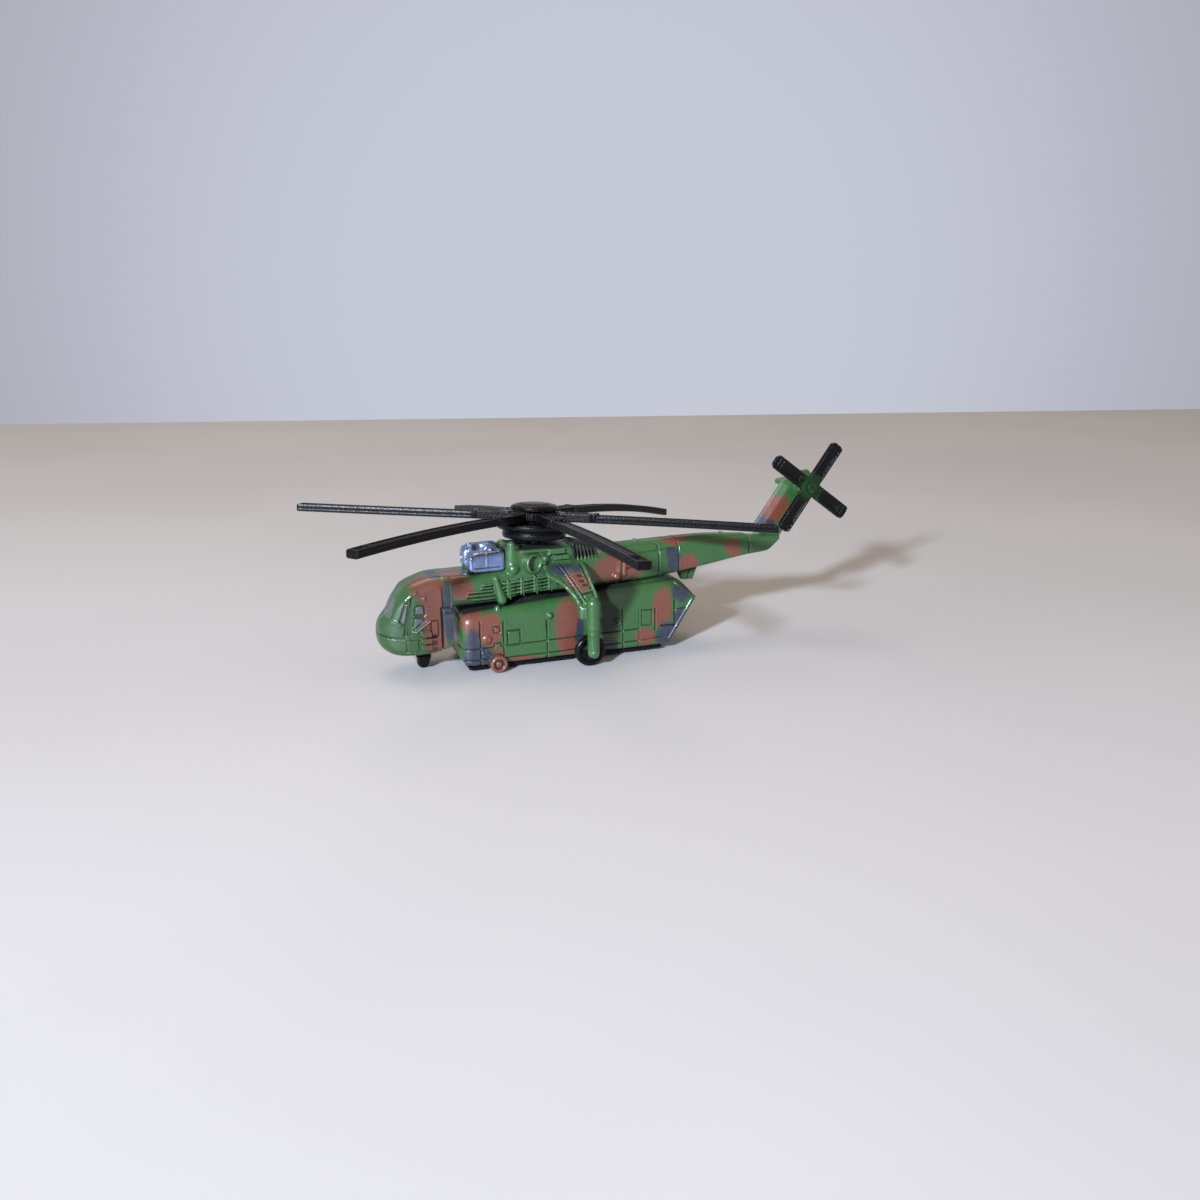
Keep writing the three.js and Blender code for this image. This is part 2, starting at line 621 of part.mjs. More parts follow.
function podShell() {
  const outside = loft(podStations).intersect(sidePlate(podSide, -7, 7));
  const lifted = podStations.map((s) => ({ ...s, x: Math.min(s.x, 11.6) })).slice(0, 3);
  const room = loft(inset(lifted, WALL)).intersect(
    sidePlate([[13, 0], [13, 11], [-20.3, 11], [-22.8, 8.1], [-18, 0]], -7, 7),
  );
  const mouth = box(-17.6, 11.2, -POD_HALF + WALL, POD_HALF - WALL, 0, 3);
  const { x: wheelX, radius, outer } = POD_WHEEL;
  const wheels = [1, -1].map((side) =>
    bar([wheelX, side * 5, radius], [wheelX, side * outer, radius], radius, radius, 20),
  );
  const hubs = [1, -1].map((side) =>
    bar([wheelX, side * (outer - 0.3), radius], [wheelX, side * (outer + 0.3), radius], 0.6, 0.6, 12),
  );
  const studs = [1, -1].map((side) => ball([-0.4, side * 5.5, 7.6], 0.5));
  const pegs = BELLY_PEG.at.map((x) =>
    bar([x, 0, roofAt(x) - WALL / 2], [x, 0, BELLY_PEG.top], BELLY_PEG.radius, BELLY_PEG.radius * 0.8, 16),
  );
  const roofTrim = [
    bar([0.8, 0, 9.2], [0.8, 0, 10.15], 3.7, 3, 28),
    bar([7.3, 4.4, 8.5], [7.3, 4.4, 9.65], 0.7, 0.3, 12),
    bar([7.3, -4.4, 8.5], [7.3, -4.4, 9.65], 0.7, 0.3, 12),
  ];
  return joined(cut(joined(outside, wheels), room, mouth, hubs), studs, pegs, roofTrim);
}
piece("pod_shell", podShell(), paint);

function podBase() {
  const edge = POD_HALF - WALL - GAP;
  const plate = box(-18.6, 12, -POD_HALF + 0.5, POD_HALF - 0.5, 0.35, POD_BOTTOM - 0.1);
  const plug = box(-17.2, 10.9, -edge, edge, 0.8, 2);
  return joined(plate, cut(plug, box(-16.2, 9.9, -edge + 1, edge - 1, POD_BOTTOM, 3)));
}
const basePlate = cut(
  podBase(),
  [1, -1].map((side) => box(6.3, 9.4, ...[side * 4.7, side * 8].sort((a, b) => a - b), 0, 0.95)),
);
piece("pod_base_plate", basePlate, blackPlastic);

helicopter.children.forEach((child) => {
  child.position.x -= BOX_MIDDLE_X;
});

export default helicopter;
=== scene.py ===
import copy
import functools
import itertools
import json
import math

import bpy
import numpy as np
from mathutils import Matrix, Vector


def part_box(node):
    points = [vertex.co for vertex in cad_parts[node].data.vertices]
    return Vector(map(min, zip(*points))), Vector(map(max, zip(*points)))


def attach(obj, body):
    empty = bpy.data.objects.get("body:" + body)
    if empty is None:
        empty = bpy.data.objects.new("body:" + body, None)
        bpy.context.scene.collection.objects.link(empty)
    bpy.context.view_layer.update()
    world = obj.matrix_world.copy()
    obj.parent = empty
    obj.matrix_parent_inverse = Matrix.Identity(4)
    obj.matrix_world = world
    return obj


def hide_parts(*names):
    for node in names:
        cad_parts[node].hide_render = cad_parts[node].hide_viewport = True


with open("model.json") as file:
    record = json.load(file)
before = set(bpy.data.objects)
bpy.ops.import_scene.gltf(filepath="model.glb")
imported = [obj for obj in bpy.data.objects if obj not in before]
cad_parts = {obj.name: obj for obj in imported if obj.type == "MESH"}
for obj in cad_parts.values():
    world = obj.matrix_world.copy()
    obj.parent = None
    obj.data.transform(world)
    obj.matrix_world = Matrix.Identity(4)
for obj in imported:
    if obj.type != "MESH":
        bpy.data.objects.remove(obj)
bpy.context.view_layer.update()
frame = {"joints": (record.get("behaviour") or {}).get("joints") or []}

# A pocket-size toy cargo helicopter. Every moulded piece is sculpted as a distance field, in which shapes
# are joined, cut, engraved and raised with soft edges, and is then skinned with a fine mesh. Sculpting is in
# millimetres from the rotor axis and above the ground: x to the nose, y to the left, z up.

MM = 0.001
JOINTS = {joint["name"]: joint for joint in frame["joints"]}
AXIS_X = JOINTS["main_rotor_spin"]["pos_m"][0] / MM
STEP = 0.1  # mesh spacing of the large pieces
FINE = 0.06  # and of the small ones
FAR = 1e3  # a distance beyond everything
BAND = 1.0  # how far round a shape its distances are worked out
DETAIL_BAND = 0.4  # and round a line that is engraved or raised
ALONG_Y = (0, 1, 0)  # the axis of wheels and of the tail rotor
OUTSIDE = 9.0  # a y to the left of the moulding lines
MOST_FACES = 150_000  # triangles in one piece


def mm_box(node):
    """A CAD node's corners in sculpting millimetres."""
    low, high = (np.array(corner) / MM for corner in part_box(node))
    return low - [AXIS_X, 0, 0], high - [AXIS_X, 0, 0]


def joint_at(name):
    return np.array(JOINTS[name]["pos_m"]) / MM - [AXIS_X, 0, 0]


# ---------- Distance fields ----------


class Shape:
    """A solid given by its signed distance, negative inside, and a box that holds it."""

    def __init__(self, low, high, distance):
        self.low, self.high = np.array(low, float), np.array(high, float)
        self.distance = distance


def smooth_min(a, b, blend):
    if blend <= 0:
        return np.minimum(a, b)
    h = np.maximum(blend - np.abs(a - b), 0) / blend
    return np.minimum(a, b) - h * h * blend / 4


def both(a, b, soft=0.0):
    """The overlap of two distances, its edge rounded."""
    a, b = a + soft, b + soft
    return np.minimum(np.maximum(a, b), 0) + np.hypot(np.maximum(a, 0), np.maximum(b, 0)) - soft


def outline_distance(u, v, corners):
    """Signed distance to a closed outline in a plane."""
    nearest = np.full(np.broadcast(u, v).shape, FAR, np.float32)
    inside = np.zeros(nearest.shape, bool)
    for (u0, v0), (u1, v1) in zip(corners, closed(corners)[1:]):
        du, dv = u1 - u0, v1 - v0
        t = np.clip(((u - u0) * du + (v - v0) * dv) / (du * du + dv * dv), 0, 1)
        nearest = np.minimum(nearest, (u - u0 - t * du) ** 2 + (v - v0 - t * dv) ** 2)
        if dv:
            inside ^= ((v0 <= v) != (v1 <= v)) & (u < u0 + (v - v0) * du / dv)
    return np.where(inside, -1, 1) * np.sqrt(nearest)


def plate(outline, axis, start, stop, soft=0.1):
    """An outline in the two other axes, pulled along one axis."""
    flat = [a for a in range(3) if a != axis]
    corners = [tuple(map(float, point)) for point in outline]
    low, high = np.zeros(3), np.zeros(3)
    low[flat], high[flat] = np.min(corners, 0), np.max(corners, 0)
    low[axis], high[axis] = start, stop

    def distance(*p):
        level = outline_distance(p[flat[0]], p[flat[1]], corners)
        return both(level, np.abs(p[axis] - (start + stop) / 2) - (stop - start) / 2, soft)

    return Shape(low, high, distance)


def rectangle(u0, u1, v0, v1):
    return [(u0, v0), (u1, v0), (u1, v1), (u0, v1)]


def closed(corners):
    """A line along an outline, back to its start."""
    return corners + corners[:1]


def block(x0, x1, y0, y1, z0, z1, soft=0.1):
    return plate(rectangle(x0, x1, y0, y1), 2, z0, z1, soft)


def bar(a, b, radius, end_radius=None):
    """A round bar with round ends, which may taper."""
    a, b = np.array(a, float), np.array(b, float)
    end_radius = radius if end_radius is None else end_radius
    along, biggest = b - a, max(radius, end_radius)

    def distance(x, y, z):
        t = ((x - a[0]) * along[0] + (y - a[1]) * along[1] + (z - a[2]) * along[2]) / (along @ along)
        t = np.clip(t, 0, 1)
        gaps = [axis - a[i] - t * along[i] for i, axis in enumerate((x, y, z))]
        return np.sqrt(sum(gap * gap for gap in gaps)) - radius - t * (end_radius - radius)

    return Shape(np.minimum(a, b) - biggest, np.maximum(a, b) + biggest, distance)


def ball(centre, radius):
    centre = np.array(centre)

    def distance(x, y, z):
        return np.sqrt((x - centre[0]) ** 2 + (y - centre[1]) ** 2 + (z - centre[2]) ** 2) - radius

    return Shape(centre - radius, centre + radius, distance)


def turned(profile, centre=(0, 0, 0), axis=(0, 0, 1)):
    """A closed outline of radius and height, turned round an axis."""
    centre, axis = np.array(centre, float), np.array(axis, float)
    axis /= np.linalg.norm(axis)
    corners = [tuple(map(float, point)) for point in profile]
    reach = max(math.hypot(*point) for point in corners)

    def distance(x, y, z):
        rel = [x - centre[0], y - centre[1], z - centre[2]]
        height = sum(rel[i] * axis[i] for i in range(3))
        radius = np.sqrt(np.maximum(sum(r * r for r in rel) - height * height, 0))
        return outline_distance(radius, height, corners)

    return Shape(centre - reach, centre + reach, distance)


def side_line(points, width, start):
    """A strip along a line in the side view, pushed in from the left as far as y = start."""
    for (x0, z0), (x1, z1) in zip(points, points[1:]):
        length = math.hypot(x1 - x0, z1 - z0)
        ex, ez = (x1 - x0) / length * width / 2, (z1 - z0) / length * width / 2
        outline = [
            (x0 - ex + ez, z0 - ez - ex), (x1 + ex + ez, z1 + ez - ex),
            (x1 + ex - ez, z1 + ez + ex), (x0 - ex - ez, z0 - ez + ex),
        ]
        yield plate(outline, 1, start, OUTSIDE, 0)


def turned_about(shape, turn, centre):
    """A shape turned by a rotation about a point."""
    turn, centre = np.array(turn.to_3x3()), np.array(centre, float)
    corners = np.array(list(itertools.product(*zip(shape.low, shape.high)))) - centre
    moved = corners @ turn.T + centre

    def distance(x, y, z):
        rel = [x - centre[0], y - centre[1], z - centre[2]]
        return shape.distance(*(sum(rel[i] * turn[i, k] for i in range(3)) + centre[k] for k in range(3)))

    return Shape(moved.min(0), moved.max(0), distance)


def ring(count, radius, start=0.0):
    """Points evenly round the z axis."""
    for n in range(count):
        angle = 2 * math.pi * (n + start) / count
        yield np.array([math.cos(angle), math.sin(angle), 0]) * radius


def curve_through(x, knots, values):
    """A smooth curve through given points, with no overshoot."""
    knots, values = np.array(knots, float), np.array(values, float)
    run = np.diff(knots)
    slope = np.diff(values) / run
    before, after = slope[:-1], slope[1:]
    same_way = before * after > 0
    inner = np.where(same_way, 2 * before * after / np.where(same_way, before + after, 1), 0)
    tangent = np.concatenate([slope[:1], inner, slope[-1:]])
    i = np.clip(np.searchsorted(knots, x) - 1, 0, len(knots) - 2)
    t = np.clip((x - knots[i]) / run[i], 0, 1)
    start, end = values[i], values[i + 1]
    lead, tail = tangent[i] * run[i], tangent[i + 1] * run[i]
    return (
        start * (2 * t**3 - 3 * t**2 + 1) + end * (3 * t**2 - 2 * t**3)
        + lead * (t**3 - 2 * t**2 + t) + tail * (t**3 - t**2)
    )


def loft(stations, middle_y=0.0):
    """A skin over sections from tail to nose: x, half width, low, high, top and bottom radius, and lean."""
    table = np.array(stations, float).T
    knots = table[0]

    def distance(x, y, z):
        rows = (curve_through(x, knots, row) for row in table[1:])
        half, low, high, top, bottom, lean = (row.astype(np.float32) for row in rows)
        centre, tall = (low + high) / 2, (high - low) / 2
        rise = np.maximum(z - centre, 0) / tall
        corner = np.where(z > centre, top, bottom)
        out_y = np.abs(y - middle_y) - half + lean * rise * rise + corner
        out_z = np.abs(z - centre) - tall + corner
        section = (
            np.minimum(np.maximum(out_y, out_z), 0)
            + np.hypot(np.maximum(out_y, 0), np.maximum(out_z, 0)) - corner
        )
        return both(section, np.maximum(knots[0] - x, x - knots[-1]), 0.15)

    widest = table[1].max()
    low = [knots[0], middle_y - widest, table[2].min()]
    return Shape(low, [knots[-1], middle_y + widest, table[3].max()], distance)


class Sculpt:
    """A block of space that shapes are added to and cut from."""

    def __init__(self, low, high, step):
        self.step = step
        spans = [(a - 4 * step, b + 4 * step) for a, b in zip(low, high)]
        self.axes = [np.arange(a, b, step, dtype=np.float32) for a, b in spans]
        self.field = np.full([len(axis) for axis in self.axes], FAR, np.float32)
        self.base = None

    def window(self, shape, margin):
        reach = zip(self.axes, shape.low - margin, shape.high + margin)
        cuts = tuple(slice(*np.searchsorted(axis, (a, b))) for axis, a, b in reach)
        return cuts, np.ix_(*(axis[cut] for axis, cut in zip(self.axes, cuts)))

    def add(self, *shapes, blend=0.0, sign=1):
        for shape in shapes:
            cuts, where = self.window(shape, BAND + blend)
            part = self.field[cuts]
            if part.size:
                part[...] = sign * smooth_min(sign * part, shape.distance(*where), blend)

    def cut(self, *shapes, blend=0.0):
        self.add(*shapes, blend=blend, sign=-1)

    def settle(self):
        """Evens the distances out, and takes this surface for what is engraved or raised next."""
        near = np.clip(self.field, -3 * BAND, 3 * BAND)
        slopes = np.gradient(near, self.step)
        steepness = np.sqrt(sum(s * s for s in slopes))
        self.field = near / np.clip(steepness, 0.5, 4)
        self.base = self.field.copy()

    def engrave(self, shape, depth):
        cuts, where = self.window(shape, DETAIL_BAND)
        part = self.field[cuts]
        if part.size:
            groove = np.maximum(shape.distance(*where), -(self.base[cuts] + depth))
            part[...] = np.maximum(part, -groove)

    def emboss(self, shape, height, blend=0.05):
        cuts, where = self.window(shape, DETAIL_BAND)
        part = self.field[cuts]
        if part.size:
            raised = both(shape.distance(*where), self.base[cuts] - height, 0.05)
            part[...] = smooth_min(part, raised, blend)

    def groove(self, points, width, depth, start=0.3):
        for strip in side_line(points, width, start):
            self.engrave(strip, depth)

    def rib(self, points, width, height, start=0.3, blend=0.05):
        for strip in side_line(points, width, start):
            self.emboss(strip, height, blend)

    def mirrored(self):
        """The same sculpture with its other half: it was made for y from below 0 up."""
        y = self.axes[1]
        left, middle = y > self.step / 4, np.abs(y) < self.step / 4
        parts = self.field[:, left][:, ::-1], self.field[:, middle], self.field[:, left]
        whole = copy.copy(self)
        whole.field = np.concatenate(parts, 1)
        whole.axes = [self.axes[0], np.concatenate([-y[left][::-1], 0 * y[middle], y[left]]), self.axes[2]]
        return whole

    def sample(self, points):
        """The field at points, between its grid's values."""
        origin = np.array([axis[0] for axis in self.axes])
        place = (points - origin) / self.step
        top = np.array(self.field.shape) - 2
        cell = np.clip(np.floor(place).astype(int), 0, top)
        t = np.clip(place - cell, 0, 1)
        total = np.zeros(len(points))
        for corner in itertools.product((0, 1), repeat=3):
            weight = np.prod(np.where(corner, t, 1 - t), 1)
            total += weight * self.field[tuple((cell + corner).T)]
        return total

    def skin(self):
        """Points and four-sided faces along the zero level of the field."""
        field = np.clip(self.field, -BAND, BAND)
        inside = field < 0
        shape = np.array(field.shape)
        count = np.zeros(shape - 1, np.uint8)
        for i, j, k in itertools.product((0, 1), repeat=3):
            count += inside[i : shape[0] - 1 + i, j : shape[1] - 1 + j, k : shape[2] - 1 + k]
        cells = np.argwhere((count > 0) & (count < 8))
        number = np.full(shape - 1, -1, np.int32)
        number[tuple(cells.T)] = np.arange(len(cells))
        total, hits = np.zeros((len(cells), 3)), np.zeros(len(cells))
        corners = np.array(list(itertools.product((0, 1), repeat=3)))
        for a, b in itertools.combinations(corners, 2):
            if np.abs(a - b).sum() != 1:
                continue
            near, far = field[tuple((cells + a).T)], field[tuple((cells + b).T)]
            crosses = (near < 0) != (far < 0)
            t = np.where(crosses, near / np.where(crosses, near - far, 1), 0)
            total += np.where(crosses[:, None], a + t[:, None] * (b - a), 0)
            hits += crosses
        origin = np.array([axis[0] for axis in self.axes])
        points = (cells + total / hits[:, None]) * self.step + origin
        faces = []
        for axis in range(3):
            u, v = (axis + 1) % 3, (axis + 2) % 3
            lead = np.take(inside, range(shape[axis] - 1), axis)
            follow = np.take(inside, range(1, shape[axis]), axis)
            at = np.argwhere(lead != follow)
            room = (at[:, u] > 0) & (at[:, v] > 0) & (at[:, u] < shape[u] - 1) & (at[:, v] < shape[v] - 1)
            at = at[room]
            back_u, back_v = np.eye(3, dtype=int)[u], np.eye(3, dtype=int)[v]
            cells_round = [at, at - back_u, at - back_u - back_v, at - back_v]
            quads = np.stack([number[tuple(p.T)] for p in cells_round], 1)
            outward = lead[tuple(at.T)]
            faces.append(np.where(outward[:, None], quads, quads[:, ::-1]))
        return points, np.concatenate(faces)


# ---------- From sculpture to object ----------


def new_mesh(name, points, faces):
    mesh = bpy.data.meshes.new(name)
    mesh.vertices.add(len(points))
    mesh.vertices.foreach_set("co", points.astype(np.float32).ravel())
    size = faces.shape[1]
    mesh.loops.add(faces.size)
    mesh.loops.foreach_set("vertex_index", faces.astype(np.int32).ravel())
    mesh.polygons.add(len(faces))
    mesh.polygons.foreach_set("loop_start", np.arange(len(faces), dtype=np.int32) * size)
    mesh.update(calc_edges=True)
    mesh.validate()
    return mesh


def linked(name, data):
    """A new object in the scene."""
    obj = bpy.data.objects.new(name, data)
    bpy.context.scene.collection.objects.link(obj)
    return obj


def dress(obj, points, body, node, finish):
    """Puts the points in the frame's metres, gives the object its body and material, and hides the CAD node
    it stands for.
    """
    slot, material = finish
    mesh = obj.data
    mesh.vertices.foreach_set("co", ((points + [AXIS_X, 0, 0]) * MM).astype(np.float32).ravel())
    mesh.polygons.foreach_set("use_smooth", np.ones(len(mesh.polygons), bool))
    mesh.update()
    mesh.materials.append(material)
    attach(obj, body)
    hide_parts(node)


def mesh_points(mesh):
    flat = np.zeros(len(mesh.vertices) * 3, np.float32)
    mesh.vertices.foreach_get("co", flat)
    return flat.reshape(-1, 3).astype(float)


def finished(obj):
    """The mesh with its modifiers applied."""
    evaluated = obj.evaluated_get(bpy.context.evaluated_depsgraph_get())
    mesh = bpy.data.meshes.new_from_object(evaluated)
    obj.modifiers.clear()
    obj.data = mesh
    return mesh


def thinned(obj, faces, most):
    """At most so many triangles, if the mesh has more."""
    if 2 * len(faces) > most:
        obj.modifiers.new("thin", "DECIMATE").ratio = most / (2 * len(faces))


def note(mesh, name, values):
    """A number at each point of a mesh, for its material to read."""
    mesh.attributes.new(name, "FLOAT", "POINT").data.foreach_set("value", values.astype(np.float32))


def piece(name, sculpt, body, node, finish, most=MOST_FACES, place=None, turn_over=False, glass=None):
    """Skins a sculpture, thins the mesh, notes how hollow or proud each point lies, and places it."""
    points, faces = sculpt.skin()
    obj = linked(name, new_mesh(name, points, faces))
    smooth = obj.modifiers.new("soften", "SMOOTH")
    smooth.factor, smooth.iterations = 0.5, 1
    thinned(obj, faces, most)
    mesh = finished(obj)
    points = mesh_points(mesh)
    note(mesh, "relief", relief_at(sculpt, points))
    if glass is not None:
        note(mesh, "glass", glass(points))
    if turn_over:
        points[:, 1] *= -1
        mesh.flip_normals()
    if place is not None:
        points = place(points)
    dress(obj, points, body, node, finish)


RELIEF_REACH = 0.28  # how far round a point its relief is judged, in millimetres


def relief_at(sculpt, points):
    """Over 0 on edges that stand proud and under 0 in grooves."""
    here = sculpt.sample(points)
    around = np.zeros(len(points))
    for axis, way in itertools.product(range(3), (-1, 1)):
        around += sculpt.sample(points + np.eye(3)[axis] * way * RELIEF_REACH) / 6
    return np.clip((around - here) / RELIEF_REACH, -1, 1)


# ---------- Paint and plastic ----------

GREEN, TERRACOTTA, SLATE = (0.022, 0.092, 0.025), (0.155, 0.044, 0.028), (0.021, 0.026, 0.050)
GLASS = (0.105, 0.125, 0.125)  # the windows are painted on
JET = (0.0022, 0.0022, 0.0028)

# Sprayed patches over the green: paint, middle, and reach each way, in sculpting millimetres.
PATCHES = [
    # roof and side of the cockpit
    (TERRACOTTA, (17.3, 2.5, 12.6), (2.3, 4.5, 1.9)),
    (TERRACOTTA, (16.9, 4.5, 9.5), (1.7, 2.2, 3.2)),
    (TERRACOTTA, (16.6, 4.5, 5.6), (1.5, 2.2, 2.9)),
    (SLATE, (15.9, 0.5, 14.6), (0.9, 3.0, 0.9)),
    (TERRACOTTA, (13.2, 2.0, 14.2), (1.6, 3.2, 1.1)),
    (SLATE, (14.6, 4.6, 9.4), (0.85, 1.5, 4.6)),
    # backbone
    (TERRACOTTA, (12.2, 4.2, 12.5), (1.6, 1.5, 1.4)),
    (TERRACOTTA, (-12.4, 3.0, 13.2), (4.2, 2.0, 2.1)),
    (SLATE, (-21.7, 2.4, 13.8), (1.25, 2.0, 2.0)),
    (TERRACOTTA, (-24.4, 2.3, 12.8), (1.7, 2.0, 1.3)),
    (TERRACOTTA, (-22.2, 0.3, 16.5), (2.3, 1.6, 0.8)),
    (TERRACOTTA, (-32.1, 1.8, 14.7), (1.5, 1.8, 1.4)),
    (SLATE, (-38.4, 0.3, 18.0), (1.7, 1.6, 1.7)),
    (TERRACOTTA, (-40.2, 0.3, 20.2), (2.1, 1.6, 2.0)),
    # left leg
    (SLATE, (-2.9, 5.0, 14.0), (3.0, 1.5, 1.1)),
    (TERRACOTTA, (-4.2, 6.2, 12.3), (2.0, 1.7, 1.6)),
    # pod, left side and roof
    (TERRACOTTA, (11.6, 5.0, 8.1), (1.9, 2.2, 1.7)),
    (TERRACOTTA, (9.1, 5.6, 6.4), (1.9, 1.2, 2.4)),
    (TERRACOTTA, (8.0, 6.3, 1.5), (1.9, 1.4, 2.5)),
    (TERRACOTTA, (3.8, 6.0, 0.8), (3.6, 1.2, 0.9)),
    (SLATE, (11.5, 5.3, 4.9), (1.1, 1.5, 1.9)),
    (SLATE, (10.6, 5.3, 2.4), (2.1, 1.5, 1.6)),
    (TERRACOTTA, (-3.3, 5.4, 5.2), (1.9, 1.6, 4.6)),
    (SLATE, (-5.0, 5.6, 4.4), (0.7, 0.9, 2.2)),
    (SLATE, (-9.3, 5.4, 1.9), (1.9, 1.2, 1.1)),
    (TERRACOTTA, (-18.6, 5.2, 7.0), (1.7, 1.5, 2.9)),
    (TERRACOTTA, (-15.6, 5.4, 2.5), (1.6, 1.2, 1.4)),
    (SLATE, (-21.6, 4.6, 9.2), (1.6, 2.2, 1.2)),
    (SLATE, (-19.6, 5.2, 2.8), (2.2, 1.4, 1.9)),
    (SLATE, (-21.6, 5.4, 5.2), (0.8, 1.2, 1.8)),
    # right side
    (TERRACOTTA, (19.6, -3.6, 6.2), (2.2, 2.0, 2.6)),
    (SLATE, (16.4, -4.2, 10.6), (1.8, 1.6, 2.4)),
    (TERRACOTTA, (10.2, -3.8, 13.0), (2.4, 1.5, 1.6)),
    (SLATE, (1.5, -3.8, 12.4), (2.3, 1.5, 1.5)),
    (TERRACOTTA, (2.2, -3.2, 16.4), (2.2, 1.6, 1.4)),
    (SLATE, (-14.8, -2.8, 13.6), (2.6, 1.8, 2.0)),
    (TERRACOTTA, (-28.2, -2.2, 14.0), (2.6, 1.8, 1.8)),
    (TERRACOTTA, (-3.6, -5.4, 13.6), (2.4, 1.8, 1.6)),
    (SLATE, (-5.6, -9.4, 6.6), (1.4, 1.4, 2.2)),
    (SLATE, (9.6, -5.2, 7.0), (2.6, 1.6, 2.2)),
    (TERRACOTTA, (3.0, -5.4, 4.4), (2.8, 1.4, 2.4)),
    (SLATE, (-9.2, -5.2, 7.4), (2.6, 1.6, 2.0)),
    (TERRACOTTA, (-16.4, -5.2, 4.2), (2.6, 1.6, 2.4)),
    # roof of the pod
    (TERRACOTTA, (-5.0, 0.0, 10.2), (3.0, 4.0, 1.2)),
    (SLATE, (9.6, -1.2, 9.9), (2.2, 3.2, 1.0)),
]


class Nodes:
    """Short hands for building the nodes of a material or a world."""

    def __init__(self, owner):
        owner.use_nodes = True
        self.owner, self.tree = owner, owner.node_tree

    def new(self, kind, settings=None, values=(), **inputs):
        """A node with its settings, the values of its first sockets in order, and others by name."""
        node = self.tree.nodes.new(kind)
        for key, value in (settings or {}).items():
            setattr(node, key, value)
        named = [(node.inputs[key], value) for key, value in inputs.items()]
        for socket, value in [*zip(node.inputs, values), *named]:
            self.feed(socket, value)
        return node

    def feed(self, socket, value):
        if isinstance(value, bpy.types.NodeSocket):
            self.tree.links.new(value, socket)
        else:
            socket.default_value = value

    def math(self, operation, a, b=0.0):
        return self.new("ShaderNodeMath", {"operation": operation}, (a, b)).outputs[0]

    def product(self, *factors):
        return functools.reduce(lambda a, b: self.math("MULTIPLY", a, b), factors)

    def vector(self, operation, a, b=(0, 0, 0)):
        node = self.new("ShaderNodeVectorMath", {"operation": operation}, (a, b))
        return node.outputs["Value" if operation in ("LENGTH", "DISTANCE", "DOT_PRODUCT") else "Vector"]

    def ramp(self, value, low, high, out_low=0.0, out_high=1.0):
        node = self.new("ShaderNodeMapRange", {"interpolation_type": "SMOOTHSTEP"}, Value=value)
        for socket, number in zip(node.inputs[1:5], (low, high, out_low, out_high)):
            socket.default_value = number
        return node.outputs["Result"]

    def mix(self, share, a, b):
        node = self.new("ShaderNodeMix", {"data_type": "RGBA"})
        for socket, value in zip((node.inputs[0], node.inputs[6], node.inputs[7]), (share, a, b)):
            if isinstance(value, tuple):
                value = (*value, 1)
            self.feed(socket, value)
        return node.outputs[2]

    def noise(self, where, scale, detail=3.0, roughness=0.5):
        return self.new(
            "ShaderNodeTexNoise", Vector=where, Scale=scale, Detail=detail, Roughness=roughness
        ).outputs

    def finish(self, **sockets):
        """The material, with what its shader reads."""
        shader = self.tree.nodes["Principled BSDF"]
        for name, value in sockets.items():
            self.feed(shader.inputs[name.replace("_", " ")], value)
        return self.owner

    def bump(self, height, strength, distance):
        return self.new(
            "ShaderNodeBump", Strength=strength, Distance=distance, Height=height
        ).outputs["Normal"]


def point_mm(nodes):
    here = nodes.new("ShaderNodeTexCoord").outputs["Object"]
    scaled = nodes.vector("MULTIPLY", here, (1 / MM,) * 3)
    return nodes.vector("SUBTRACT", scaled, (AXIS_X, 0, 0))


def relief_of(nodes):
    return nodes.new("ShaderNodeAttribute", {"attribute_name": "relief"}).outputs["Fac"]


